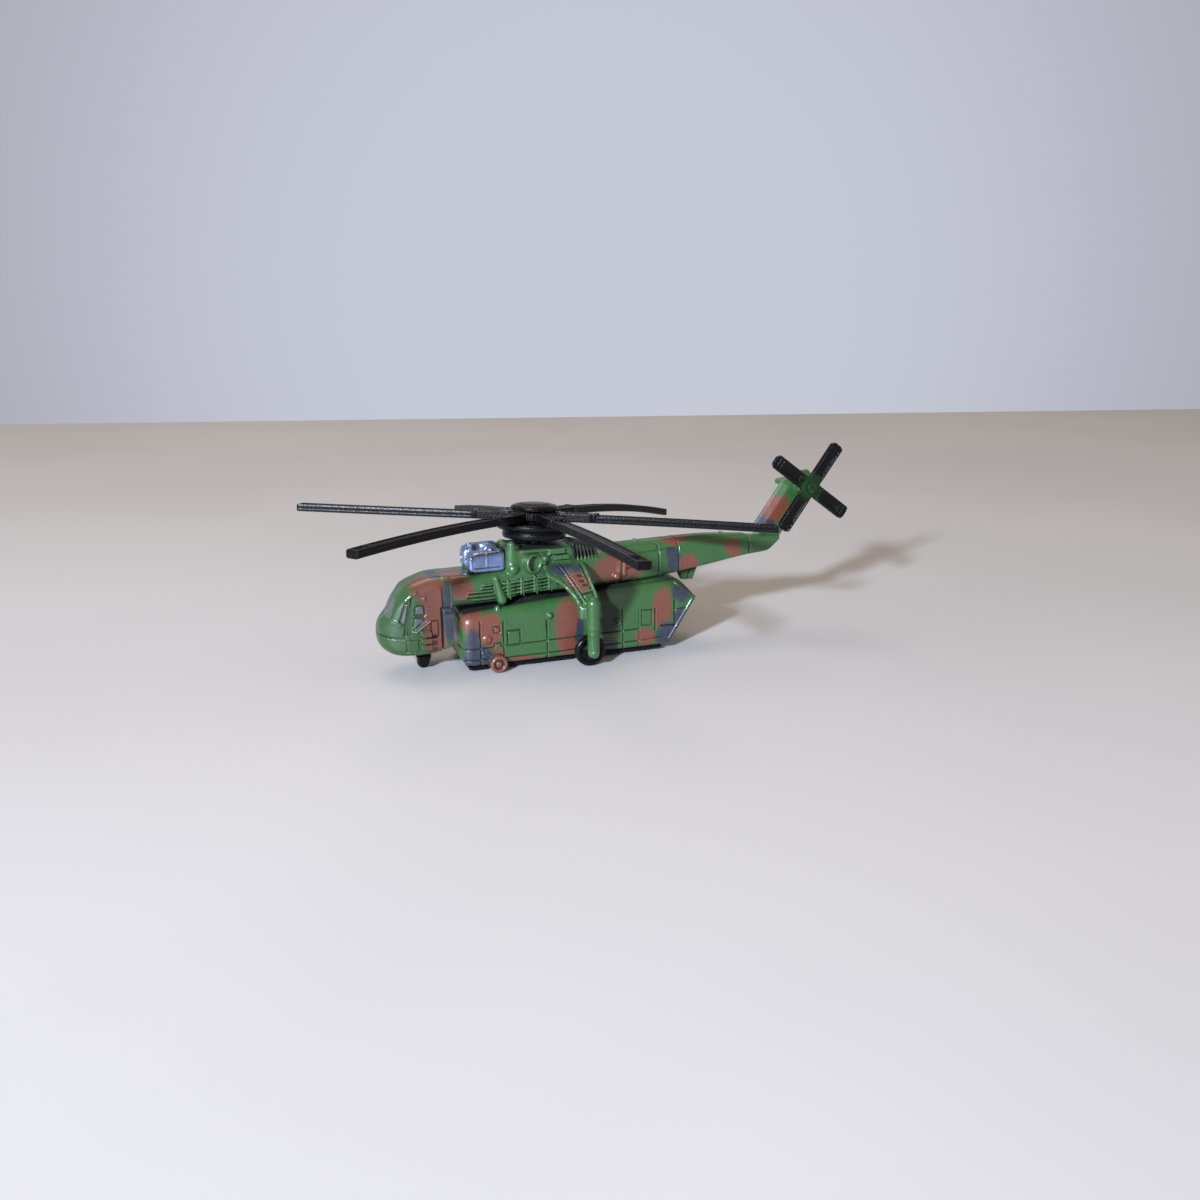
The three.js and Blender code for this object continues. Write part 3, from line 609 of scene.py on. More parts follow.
def painted(name):
    """Gloss enamel sprayed in soft patches and thin on the edges; darker in the grooves, partly a wash and
    partly painted shade, with painted shade towards the nose and where shadow falls.
    """
    nodes = Nodes(bpy.data.materials.new(name))
    here = point_mm(nodes)
    wobble = nodes.vector("SUBTRACT", nodes.noise(here, 0.42, 2.0)["Color"], (0.5, 0.5, 0.5))
    blurred = nodes.vector("ADD", here, nodes.vector("MULTIPLY", wobble, (2.0, 2.0, 2.0)))
    drift = nodes.noise(here, 0.16, 2.0)["Fac"]
    yellower = GREEN[0] * 1.25, GREEN[1] * 1.1, GREEN[2]
    colour = nodes.mix(nodes.ramp(drift, 0.35, 0.65), GREEN, yellower)
    for paint, middle, reach in PATCHES:
        away = nodes.vector("SUBTRACT", blurred, middle)
        away = nodes.vector("LENGTH", nodes.vector("DIVIDE", away, reach))
        colour = nodes.mix(nodes.ramp(away, 1.38, 0.76), colour, paint)
    mottle = nodes.noise(here, 2.2, 4.0, 0.6)["Fac"]
    colour = nodes.mix(nodes.ramp(mottle, 0.3, 0.75, 0.0, 0.1), colour, (0.16, 0.18, 0.13))
    glass = nodes.new("ShaderNodeAttribute", {"attribute_name": "glass"}).outputs["Fac"]
    colour = nodes.mix(glass, colour, GLASS)
    relief = relief_of(nodes)
    # Grooves darkened towards black: partly a dark wash in them, partly painted shade.
    colour = nodes.mix(nodes.ramp(relief, -0.03, -0.32, 0.0, 0.9), colour, (0.003, 0.005, 0.004))
    edges = nodes.product(nodes.ramp(relief, 0.12, 0.3), nodes.ramp(relief, 0.75, 0.45))
    worn = nodes.product(edges, nodes.ramp(mottle, 0.35, 0.7, 0.08, 0.4))
    colour = nodes.mix(worn, colour, (0.17, 0.20, 0.16))
    # Painted shade: the cockpit's colour darkens towards the nose.
    nose = nodes.new("ShaderNodeSeparateXYZ", Vector=here).outputs["X"]
    colour = nodes.mix(nodes.ramp(nose, 14.0, 19.0, 0.0, 0.36), colour, (0.006, 0.008, 0.006))
    # thin holds the painted shade: the paint is darkened almost to black where shadow falls between body and
    # pod, under the rotor and behind the left leg
    thin = painted_shade(nodes, here)
    colour = nodes.mix(thin, colour, (0.003, 0.005, 0.004))
    grain = nodes.noise(here, 5.0, 4.0, 0.55)["Fac"]
    fine = nodes.noise(here, 26.0, 2.0, 0.5)["Fac"]
    rough = nodes.ramp(grain, 0.3, 0.7, 0.27, 0.42)
    rough = nodes.math("ADD", rough, nodes.ramp(relief, 0.0, -0.4, 0.0, 0.25))
    rough = nodes.math("MAXIMUM", rough, nodes.product(thin, 0.75))
    height = nodes.math("ADD", grain, nodes.product(fine, 0.25))
    return nodes.finish(
        Base_Color=colour, Roughness=rough, Normal=nodes.bump(height, 0.35, 0.00006),
        Coat_Weight=nodes.ramp(thin, 0.0, 0.8, 0.35, 0.0), Coat_Roughness=0.16, IOR=1.5,
    )


def painted_shade(nodes, here):
    """Painted shade where shadow falls: between body and pod, under the rotor and behind the left leg."""
    x, y, z = nodes.new("ShaderNodeSeparateXYZ", Vector=here).outputs
    across, along = nodes.math("ABSOLUTE", y), nodes.math("ABSOLUTE", x)
    aslant = nodes.math("ADD", x, nodes.product(z, 0.6))
    zones = [  # how dark its painted shade gets, and where each edge of the zone fades in
        (0.97, (across, 4.5, 3.6), (z, 8.4, 8.8), (z, 11.0, 10.7), (x, -13.5, -12.0), (x, 13.9, 13.3)),
        (0.93, (z, 17.2, 17.6), (along, 4.6, 3.8)),
        (0.93, (x, -9.6, -8.6), (x, -4.4, -5.2), (z, 15.0, 15.9)),
        (0.78, (y, 1.6, 3.0), (aslant, -9.6, -7.4), (x, -7.8, -8.8), (z, 2.0, 4.6), (z, 12.4, 11.2)),
    ]
    zones = [nodes.product(*(nodes.ramp(*edge) for edge in edges), most) for most, *edges in zones]
    return functools.reduce(lambda a, b: nodes.math("MAXIMUM", a, b), zones)


def black_plastic(name, rough=(0.2, 0.38), green_hub=None):
    """Satin black moulded plastic, streaked and scuffed, with green overspray about a point."""
    nodes = Nodes(bpy.data.materials.new(name))
    here = point_mm(nodes)
    cloud = nodes.noise(here, 0.9, 4.0, 0.6)["Fac"]
    streak = nodes.noise(here, 3.0, 4.0, 0.65)["Fac"]
    relief = relief_of(nodes)
    colour = nodes.mix(nodes.ramp(cloud, 0.35, 0.7), JET, tuple(c * 1.9 for c in JET))
    scuffed = nodes.product(nodes.ramp(relief, 0.1, 0.5), nodes.ramp(streak, 0.4, 0.7, 0.05, 0.5))
    colour = nodes.mix(scuffed, colour, (0.030, 0.033, 0.044))
    if green_hub is not None:
        away = nodes.vector("DISTANCE", here, green_hub)
        away = nodes.math("ADD", away, nodes.ramp(streak, 0.3, 0.7, -0.7, 0.7))
        colour = nodes.mix(nodes.ramp(away, 2.5, 1.5, 0.0, 0.85), colour, tuple(0.4 * c for c in GREEN))
    dust = nodes.noise(here, 7.0, 3.0, 0.6)["Fac"]
    roughness = nodes.ramp(streak, 0.3, 0.7, *rough)
    height = nodes.math("ADD", streak, nodes.product(dust, 0.4))
    return nodes.finish(
        Base_Color=colour, Roughness=roughness, Normal=nodes.bump(height, 0.4, 0.00008), IOR=1.5,
        Specular_IOR_Level=0.2,
    )


def metal_coating(name):
    """Vacuum-silvered plastic with a blue cast, tarnished in blotches, with painted shade in its hollows and
    a painted highlight on its proud edges.
    """
    nodes = Nodes(bpy.data.materials.new(name))
    here = point_mm(nodes)
    blotch = nodes.noise(here, 0.85, 5.0, 0.65)["Fac"]
    speck = nodes.noise(here, 3.0, 4.0, 0.7)["Fac"]
    relief = relief_of(nodes)
    colour = nodes.mix(nodes.ramp(blotch, 0.4, 0.62), (0.25, 0.355, 0.65), (0.34, 0.41, 0.61))
    colour = nodes.mix(nodes.ramp(speck, 0.56, 0.74, 0.0, 0.5), colour, (0.12, 0.09, 0.17))
    # Painted shade in the hollows.
    colour = nodes.mix(nodes.ramp(relief, -0.02, -0.3), colour, (0.03, 0.025, 0.04))
    # Painted highlight along the proud edges.
    colour = nodes.mix(nodes.ramp(relief, 0.12, 0.4, 0.0, 0.7), colour, (0.78, 0.8, 0.86))
    rough = nodes.ramp(speck, 0.35, 0.7, 0.2, 0.42)
    return nodes.finish(
        Base_Color=colour, Metallic=0.92, Roughness=rough, Normal=nodes.bump(speck, 0.4, 0.00008), IOR=1.5,
    )


def steel(name, pale, dark):
    """Steel with fine marks round it from the lathe."""
    nodes = Nodes(bpy.data.materials.new(name))
    here = point_mm(nodes)
    turned_marks = nodes.noise(nodes.vector("MULTIPLY", here, (1, 9, 1)), 2.0, 4.0, 0.6)["Fac"]
    colour = nodes.mix(nodes.ramp(turned_marks, 0.3, 0.7), pale, dark)
    return nodes.finish(
        Base_Color=colour, Metallic=1.0, Roughness=nodes.ramp(turned_marks, 0.3, 0.7, 0.22, 0.4),
        Normal=nodes.bump(turned_marks, 0.3, 0.00004), IOR=1.5,
    )


# ---------- Body ----------

SEAM = 0.02  # from the middle plane to where each half starts
# Sections from tail to nose, as loft takes them.
COCKPIT = [
    (13.9, 4.05, 3.9, 14.2, 1.5, 0.9, 0.3),
    (15.5, 4.1, 3.35, 14.35, 1.6, 1.0, 0.4),
    (16.6, 4.1, 3.1, 14.3, 1.7, 1.1, 0.45),
    (18.6, 4.1, 2.98, 13.8, 1.8, 1.2, 0.6),
    (20.4, 3.95, 2.95, 13.0, 1.7, 1.3, 0.7),
    (21.1, 3.75, 2.97, 12.2, 1.6, 1.3, 0.7),
    (22.1, 3.4, 3.1, 10.8, 1.5, 1.4, 0.6),
    (22.75, 3.1, 3.3, 9.5, 1.3, 1.5, 0.5),
    (23.4, 2.65, 3.65, 8.8, 1.3, 1.6, 0.4),
    (24.0, 2.0, 4.2, 8.2, 1.3, 1.4, 0.3),
    (24.33, 1.35, 4.85, 7.5, 1.1, 1.1, 0.1),
    (24.45, 0.8, 5.4, 6.9, 0.7, 0.7, 0.0),
]
BACKBONE = [
    (-12.5, 3.0, 10.9, 15.9, 0.9, 0.8, 0.2),
    (-7, 3.6, 10.8, 15.4, 0.8, 0.7, 0.2),
    (0, 4.0, 10.95, 14.95, 0.7, 0.5, 0.1),
    (3.4, 4.0, 10.85, 14.7, 0.8, 0.5, 0.1),
    (5.4, 4.0, 10.2, 14.5, 0.9, 0.6, 0.1),
    (8, 4.0, 10.05, 14.3, 0.9, 0.6, 0.2),
    (15, 3.9, 9.9, 14.3, 1.4, 0.6, 0.3),
]
BOOM = [
    (-41.2, 0.9, 14.95, 15.6, 0.3, 0.3, 0.1),
    (-38.6, 1.3, 13.3, 15.9, 0.5, 0.4, 0.3),
    (-35, 1.7, 13.1, 16.1, 0.6, 0.4, 0.5),
    (-27, 2.3, 12.1, 16.35, 0.8, 0.5, 0.8),
    (-18, 2.7, 11.1, 16.2, 0.9, 0.5, 0.9),
    (-12, 3.1, 10.9, 15.9, 0.9, 0.6, 0.7),
]
SPINE = [
    (-35.1, 0.7, 15.4, 16.35, 0.25, 0.2, 0.1),
    (-27, 1.1, 15.4, 16.85, 0.3, 0.2, 0.2),
    (-13, 1.4, 15.2, 16.5, 0.3, 0.2, 0.2),
]
ENGINE_DECK = [
    (-5.3, 3.4, 14, 17.05, 0.7, 0.3, 0.1),
    (-4.2, 3.7, 14, 17.4, 0.6, 0.3, 0.1),
    (3.9, 3.8, 13.9, 17.65, 0.6, 0.3, 0.1),
    (5.2, 3.5, 13.9, 17.3, 0.7, 0.3, 0.1),
]
REAR_FAIRING = [
    (-9.2, 1.9, 15, 16.4, 0.6, 0.3, 0.2),
    (-5.4, 2.6, 15, 17.7, 0.6, 0.3, 0.2),
    (-4.6, 2.5, 15, 17.6, 0.6, 0.3, 0.2),
]
PYLON = [  # the upswept tail, from the side
    (-36.9, 15.6), (-41.2, 15.05), (-47.5, 24.5), (-46.3, 26.0), (-43.7, 25.8), (-41.6, 24.3),
    (-36.9, 17.8),
]
TAIL_HUB = joint_at("tail_rotor_spin")
SIDE_WINDOWS = [
    [(19.42, 9.3), (19.3, 10.35), (18.8, 10.62), (18.05, 10.55), (17.95, 9.35), (18.15, 9.15)],
    [(19.75, 7.2), (19.55, 8.62), (19.25, 8.86), (18.22, 8.75), (18.1, 8.35), (19.5, 7.05)],
    [(21.25, 8.0), (21.5, 8.5), (20.7, 10.8), (20.25, 10.95), (20.3, 10.2), (20.85, 7.85)],
]
WINDSCREEN = [(0.25, 8.9), (0.25, 11.3), (2.1, 11.3), (2.75, 9.4), (2.4, 8.7)]  # seen from the nose


def glass_at(points):
    """1 where a window is painted on the cockpit."""
    x, y, z = points.T
    nearest = np.min([outline_distance(x, z, corners) for corners in SIDE_WINDOWS], 0)
    nearest = np.where(np.abs(y) > 1.2, nearest, FAR)
    nearest = np.minimum(nearest, np.where(x > 20.8, outline_distance(np.abs(y), z, WINDSCREEN), FAR))
    return np.clip(0.5 - (nearest + 0.1) / 0.12, 0, 1)


def bevelled(outline, half, edge, slope, y=0.0):
    """A flat plate in the side view that thins towards its outline."""
    corners = [tuple(map(float, point)) for point in outline]

    def distance(x, py, z):
        level = outline_distance(x, z, corners)
        thick = np.minimum(half, edge + slope * np.maximum(-level, 0))
        return both(level, np.abs(py - y) - thick, 0.1)

    low, high = np.min(corners, 0), np.max(corners, 0)
    return Shape([low[0], y - half, low[1]], [high[0], y + half, high[1]], distance)


def cockpit_details(s):
    s.cut(block(14.05, 15.35, 3.72, 6, 9.95, 13.55, 0.15), blend=0.15)
    s.settle()
    s.groove([(24.6, 6.35), (22.6, 5.95), (20.95, 5.9)], 0.22, 0.22, -1)
    s.groove([(20.98, 6.4), (19.72, 11.5)], 0.26, 0.25, 1.5)
    s.groove(closed(rectangle(20.75, 18.95, 5.5, 3.75)), 0.16, 0.14)
    s.groove(closed(rectangle(17.1, 16.0, 8.2, 5.8)), 0.2, 0.2)
    s.groove([(15.5, 10.0), (15.5, 3.5)], 0.24, 0.3)
    for corners in SIDE_WINDOWS:
        s.groove(closed(corners), 0.26, 0.2, 1.0)
    for a, b in zip(WINDSCREEN, closed(WINDSCREEN)[1:]):
        for x in (22.6, 22.0):
            s.engrave(bar((x, *a), (x, *b), 0.11), depth=0.14)
    pillar = [(20.7, 6.4), (20.5, 8.0), (19.9, 11.0), (19.6, 10.9), (19.95, 6.4)]
    s.engrave(plate(pillar, 1, 1.5, 6), depth=0.26)
    for row in (6.5, 5.5, 4.5):
        s.emboss(plate(rectangle(17.25, 18.75, row - 0.38, row + 0.38), 1, 1, 6), height=0.32)
        s.groove([(17.2, row - 0.5), (18.7, row - 0.5)], 0.16, 0.16)
    slab = [(14.02, 5.0), (14.4, 4.35), (15.32, 4.05), (15.32, 9.8), (14.02, 9.75)]
    s.emboss(plate(slab, 1, 1, 6), height=0.28)
    for shift in (0, 0.42):
        s.rib([(19.85 - shift, 6.7 - shift / 4), (17.6 - shift, 8.3 - shift / 4)], 0.15, 0.16)
        s.rib([(22.9, 8.75 - shift), (21.2, 7.95 - shift)], 0.14, 0.14, 1.2)
    s.rib([(20.55, 11.5), (19.9, 12.1), (19.1, 12.45)], 0.4, 0.14, 1.5, blend=0.2)
    s.emboss(ball((17.9, 4.1, 11.6), 0.3), height=0.15)


def backbone_details(s):
    slats = [(9.2, 12.75, 8.0), (9.5, 12.3, 8.0), (11.4, 11.85, 7.9), (11.6, 11.3, 7.7), (10.5, 10.75, 7.6)]
    for x, z, rear in slats:
        s.groove([(x - 0.1, z - 0.26), (rear - 0.3, z - 0.26)], 0.2, 0.22)
        s.rib([(x, z), (rear, z + 0.03)], 0.26, 0.22, blend=0.1)
    top, bottom = ((5.5, 12.96), (-0.9, 13.45)), ((5.5, 10.95), (-0.9, 11.55))

    def panel_z(x, share):
        t = (5.5 - x) / 6.4
        upper = top[0][1] + t * (top[1][1] - top[0][1])
        lower = bottom[0][1] + t * (bottom[1][1] - bottom[0][1])
        return lower + share * (upper - lower)

    dividers = [6.35, 5.5, 3.45, 1.4, -0.85]
    for front, rear in zip(dividers, dividers[1:]):
        for x in (front - 0.28, rear + 0.28):
            s.groove([(x, panel_z(x, -0.05)), (x, panel_z(x, 1.05))], 0.16, 0.25)
        for row in range(4):
            share = 0.1 + row * 0.27
            ends = [(x, panel_z(x, share)) for x in (front - 0.28, rear + 0.28)]
            s.rib(ends, 0.26, 0.26, blend=0.08)
            ends = [(x, panel_z(x, share - 0.13)) for x in (front - 0.2, rear + 0.2)]
            s.groove(ends, 0.2, 0.26)
        s.rib([(rear, panel_z(rear, -0.1)), (rear, panel_z(rear, 1.1))], 0.3, 0.34, blend=0.1)
    s.add(bar((7.25, 3.9, 13.6), (6.5, 4.15, 10.4), 0.36, 0.76), blend=0.2)
    s.rib([(13.4, 13.2), (9.6, 13.4), (5.0, 13.7)], 0.16, 0.1, blend=0.15)


def deck_details(s):
    s.add(block(-3.4, -0.9, 3.1, 4.15, 16.5, 17.35, 0.14), blend=0.1)
    s.add(block(-4.1, -1.7, 3.1, 4.15, 15.6, 16.3, 0.14), blend=0.1)
    s.add(block(-0.9, 3.2, 3.1, 3.95, 16.95, 17.5, 0.14), blend=0.15)
    s.add(bar((-0.25, 3.2, 16.0), (-0.25, 4.2, 16.0), 0.5), blend=0.15)
    s.add(bar((-0.25, 4.0, 15.8), (-0.2, 4.0, 15.35), 0.34), blend=0.15)
    s.add(bar((-0.5, 3.9, 16.2), (-1.2, 3.9, 16.75), 0.26), blend=0.12)
    dish = [(0, 0), (1.4, 0), (1.52, 1.35), (1.36, 1.58), (1.14, 1.5), (0.95, 1.02), (0.5, 0.9), (0, 0.87)]
    s.add(turned(dish, (2.0, 3.05, 15.3), (-0.42, 0.9, 0.05)), blend=0.12)
    s.add(bar((4.5, 3.0, 14.6), (4.5, 2.8, 17.0), 1.05, 0.9), ball((4.5, 3.6, 14.7), 0.8), blend=0.35)
    for n in range(7):
        x = -5.1 - 0.6 * n
        half, top = 1.95 + (x + 9.2) * 0.18, 16.3 + (x + 9.2) * 0.34
        for a, b in (((3.2, 15.0), (half, top - 0.2)), ((half, top - 0.2), (0, top - 0.05))):
            s.add(bar((x, *a), (x, *b), 0.17), blend=0.12)


def boom_details(s):
    for x, low, high in ((-19.2, 11.2, 16.0), (-22.6, 11.5, 16.0), (-35.3, 13.0, 16.0)):
        s.groove([(x, low), (x, high)], 0.2, 0.2, 0.05)
        s.rib([(x - 0.26, low + 0.1), (x - 0.26, high - 0.3)], 0.14, 0.08, 0.05)
    s.groove([(-14.6, 15.15), (-22.4, 15.45)], 0.16, 0.15)
    s.groove([(-13.8, 13.0), (-17.4, 13.35)], 0.18, 0.18)
    for x in (-22.5, -26.4, -16.2, -31.0):
        s.add(bar((x, 0, 16.72), (x, 0.55, 16.62), 0.24), blend=0.15)
    for x in (-12.3, -13.2):
        s.add(bar((x, 3.0, 12.2), (x - 0.3, 2.75, 15.0), 0.36), blend=0.12)
    s.add(ball((-11.9, 3.05, 11.95), 0.72), blend=0.2)


def body_sculpture():
    low, high = mm_box("body_left_half")
    s = Sculpt([low[0], -0.3, low[2]], [high[0], 5.3, high[2]], STEP)
    s.add(loft(COCKPIT))
    s.add(loft(BACKBONE), blend=0.3)
    s.add(loft(BOOM), blend=0.3)
    s.add(loft(SPINE), blend=0.2)
    s.add(loft(ENGINE_DECK), loft(REAR_FAIRING), blend=0.25)
    s.add(bevelled(PYLON, 0.95, 0.3, 0.55), blend=0.3)
    cockpit_details(s)
    backbone_details(s)
    boom_details(s)
    deck_details(s)
    for x in PEGS:
        s.cut(bar((x, 0, 8), (x, 0, 12.0), 1.1))
    s.cut(bar((NOSE_GEAR[0], 0, 1), (NOSE_GEAR[0], 0, 4.0), 0.8))
    return s


PEGS = [4.5, -14.5]  # where the pod's pegs plug in
NOSE_GEAR = joint_at("nose_wheel_roll")


def build_body():
    s = body_sculpture()
    for side, node in ((1, "body_left_half"), (-1, "body_right_half")):
        half = copy.copy(s)
        half.field = s.field.copy()
        if side == 1:
            x, _, z = TAIL_HUB
            boss = [(0, -2), (1.75, -2), (1.6, 1.9), (1.3, 2.15), (0, 2.15)]
            half.add(turned(boss, (x, 0, z), ALONG_Y), blend=0.4)
            half.add(bar((4.5, 3.1, 16.4), (4.55, 3.1, 18.2), 0.75, 0.62), blend=0.3)
            half.add(ball((3.75, 3.3, 17.85), 0.42), blend=0.3)
        half.field = np.maximum(half.field, SEAM - half.axes[1][:, None])
        piece(node + "_moulding", half, "airframe", node, PAINT, turn_over=side < 0, glass=glass_at)


# ---------- Pod ----------

POD_LOW, POD_HIGH = mm_box("pod_shell")
POD_HALF = 5.6
POD_ROOF = ((-21.1, 10.9), (12.9, 8.8))
POD_WHEEL_X = 7.85


def pod_roof(x):
    (x0, z0), (x1, z1) = POD_ROOF
    return z0 + (z1 - z0) * (x - x0) / (x1 - x0)


def pod_sculpture():
    s = Sculpt([POD_LOW[0], -0.3, POD_LOW[2]], POD_HIGH, STEP)
    body = loft([
        (-25, POD_HALF, 1.0, pod_roof(-25), 1.6, 0.55, 0.15),
        (11.4, POD_HALF, 1.0, pod_roof(11.4), 1.6, 0.55, 0.15),
        (12.2, POD_HALF - 0.22, 1.15, pod_roof(12.2) - 0.12, 1.5, 0.7, 0.15),
        (12.7, POD_HALF - 0.65, 1.6, pod_roof(12.7) - 0.45, 1.3, 0.8, 0.15),
        (12.9, POD_HALF - 1.1, 2.1, pod_roof(12.9) - 0.85, 1.0, 0.7, 0.15),
    ])
    s.add(body)
    s.cut(plate([(-20.7, 12), (-24.25, 8.1), (-19.3, 0.5), (-30, 0.5), (-30, 12)], 1, -8, 8, 0), blend=0.25)
    s.settle()
    for x, high, low in ((10.3, 7.6, 1.0), (6.8, 7.3, 1.05), (0.1, 6.8, 1.05), (-12.0, 7.3, 1.0)):
        s.groove([(x, high), (x, low)], 0.2, 0.2, 3)
        s.rib([(x - 0.24, high), (x - 0.24, low)], 0.14, 0.06, 3)
    s.groove([(13.5, 3.6), (8.2, 3.7), (8.2, 4.2), (7.2, 4.2), (7.2, 3.72), (-14.7, 3.99)], 0.2, 0.2, 2)
    s.groove([(13.5, 2.0), (6.8, 1.85), (-0.2, 1.85), (-14.7, 2.1)], 0.2, 0.2, 2)
    s.groove(closed(rectangle(6.15, 4.24, 5.9, 3.66)), 0.22, 0.2, 3)
    s.groove(closed(rectangle(8.26, 7.29, 6.75, 5.8)), 0.16, 0.16, 3)
    s.emboss(plate(rectangle(7.45, 8.1, 5.95, 6.6), 1, 3, 8), height=0.16)
    s.groove(closed(rectangle(-15.1, -16.8, 6.8, 4.45)), 0.2, 0.2, 3)
    s.engrave(plate(rectangle(-16.7, -15.2, 4.55, 6.7), 1, 3, 8), depth=0.12)
    s.groove([(-14.7, 6.9), (-14.7, 1.2)], 0.16, 0.16, 3)
    s.groove([(-17.3, 6.95), (-17.3, 3.4)], 0.2, 0.2, 3)
    s.rib([(-17.55, 6.9), (-17.55, 3.45)], 0.16, 0.08, 3)
    s.groove([(-20.6, 7.9), (-20.6, 4.0), (-18.3, 4.1)], 0.22, 0.22, 3)
    s.groove([(-20.85, 6.5), (-22.95, 6.55)], 0.16, 0.16, 3)
    s.groove([(-14.7, 2.1), (-18.9, 2.3)], 0.16, 0.14, 3)
    s.rib([(-21.0, 10.6), (-23.7, 8.1), (-19.7, 1.9)], 0.32, 0.14, 2.5, blend=0.15)
    s.rib([(-10.6, 5.75), (-11.5, 5.75), (-11.5, 5.1), (-10.9, 5.1)], 0.28, 0.22, 3, blend=0.1)
    s.rib([(-9.0, 2.9), (-10.4, 2.9), (-10.4, 2.45)], 0.26, 0.16, 3, blend=0.1)
    s.rib([(9.3, 2.9), (10.0, 2.9), (10.0, 2.45), (8.9, 2.5)], 0.22, 0.14, 3, blend=0.1)
    cap = [(0, -0.6), (0.72, -0.6), (0.62, 0.16), (0.3, 0.26), (0, 0.12)]
    s.add(turned(cap, (9.25, POD_HALF, 4.96), ALONG_Y), blend=0.12)
    s.add(ball((-0.4, POD_HALF - 0.1, 7.6), 0.48), blend=0.15)
    s.add(bar((7.3, 4.4, 8.3), (7.3, 4.4, 9.25), 0.62, 0.42), blend=0.3)
    hump = [(0, -1), (4.2, -1), (3.6, 0.1), (2.9, 0.46), (0, 0.56)]
    s.add(turned(hump, (0.8, 0, 9.6), (0.02, 0, 1)), blend=0.35)
    s.add(turned([(0, -1), (1.5, -1), (1.4, 0.2), (0, 0.25)], (-10.5, 0, pod_roof(-10.5))), blend=0.2)
    s.emboss(block(-21.0, -16.2, -1, 3.2, 9, 12), height=0.12)
    for x in PEGS:
        s.add(bar((x, 0, 9), (x, 0, 12.6 - 0.62), 0.78, 0.6), blend=0.25)
    wheel = [
        (0, -2.0), (1.3, -2.0), (1.3, -0.2), (1.15, 0), (0.85, 0), (0.72, -0.3), (0.5, -0.32),
        (0.42, -0.05), (0, 0),
    ]
    s.add(turned(wheel, (POD_WHEEL_X, POD_HIGH[1], 1.3), ALONG_Y), blend=0.08)
    return s.mirrored()


def pod_base_sculpture():
    low, high = mm_box("pod_base_plate")
    s = Sculpt(low, high, STEP)
    s.add(block(low[0], high[0], low[1], high[1], low[2], 0.88, 0.12))
    s.add(block(low[0] + 1.4, high[0] - 1.2, low[1] + 1.4, high[1] - 1.4, 0.6, high[2], 0.12))
    for side in (-1, 1):
        s.cut(block(6.2, 9.5, side * 6.9 - 2.2, side * 6.9 + 2.2, 0, 0.98, 0.1))
    s.settle()
    for x in (-12.0, -4.0, 3.6):
        s.engrave(block(x - 0.12, x + 0.12, -5, 5, 0, 0.6, 0), depth=0.14)
    s.engrave(block(low[0] + 1, high[0] - 1, -0.12, 0.12, 0, 0.6, 0), depth=0.14)
    return s


# ---------- Landing gear ----------

LEG_LOW, LEG_HIGH = mm_box("gear_leg_left")
WHEEL = joint_at("main_wheel_left_roll")
STRUT_Y, STRUT_RADIUS = 9.75, 0.97


def rounded_path(points, steps=4):
    """A closed outline eased through its corner points."""
    points = [np.array(p, float) for p in points]
    out = []
    for i in range(len(points)):
        p0, p1, p2, p3 = (points[(i + k - 1) % len(points)] for k in range(4))
        for n in range(steps):
            t = n / steps
            out.append(tuple(
                0.5 * (2 * p1 + (p2 - p0) * t + (2 * p0 - 5 * p1 + 4 * p2 - p3) * t * t
                       + (3 * p1 - p0 - 3 * p2 + p3) * t**3)
            ))
    return out


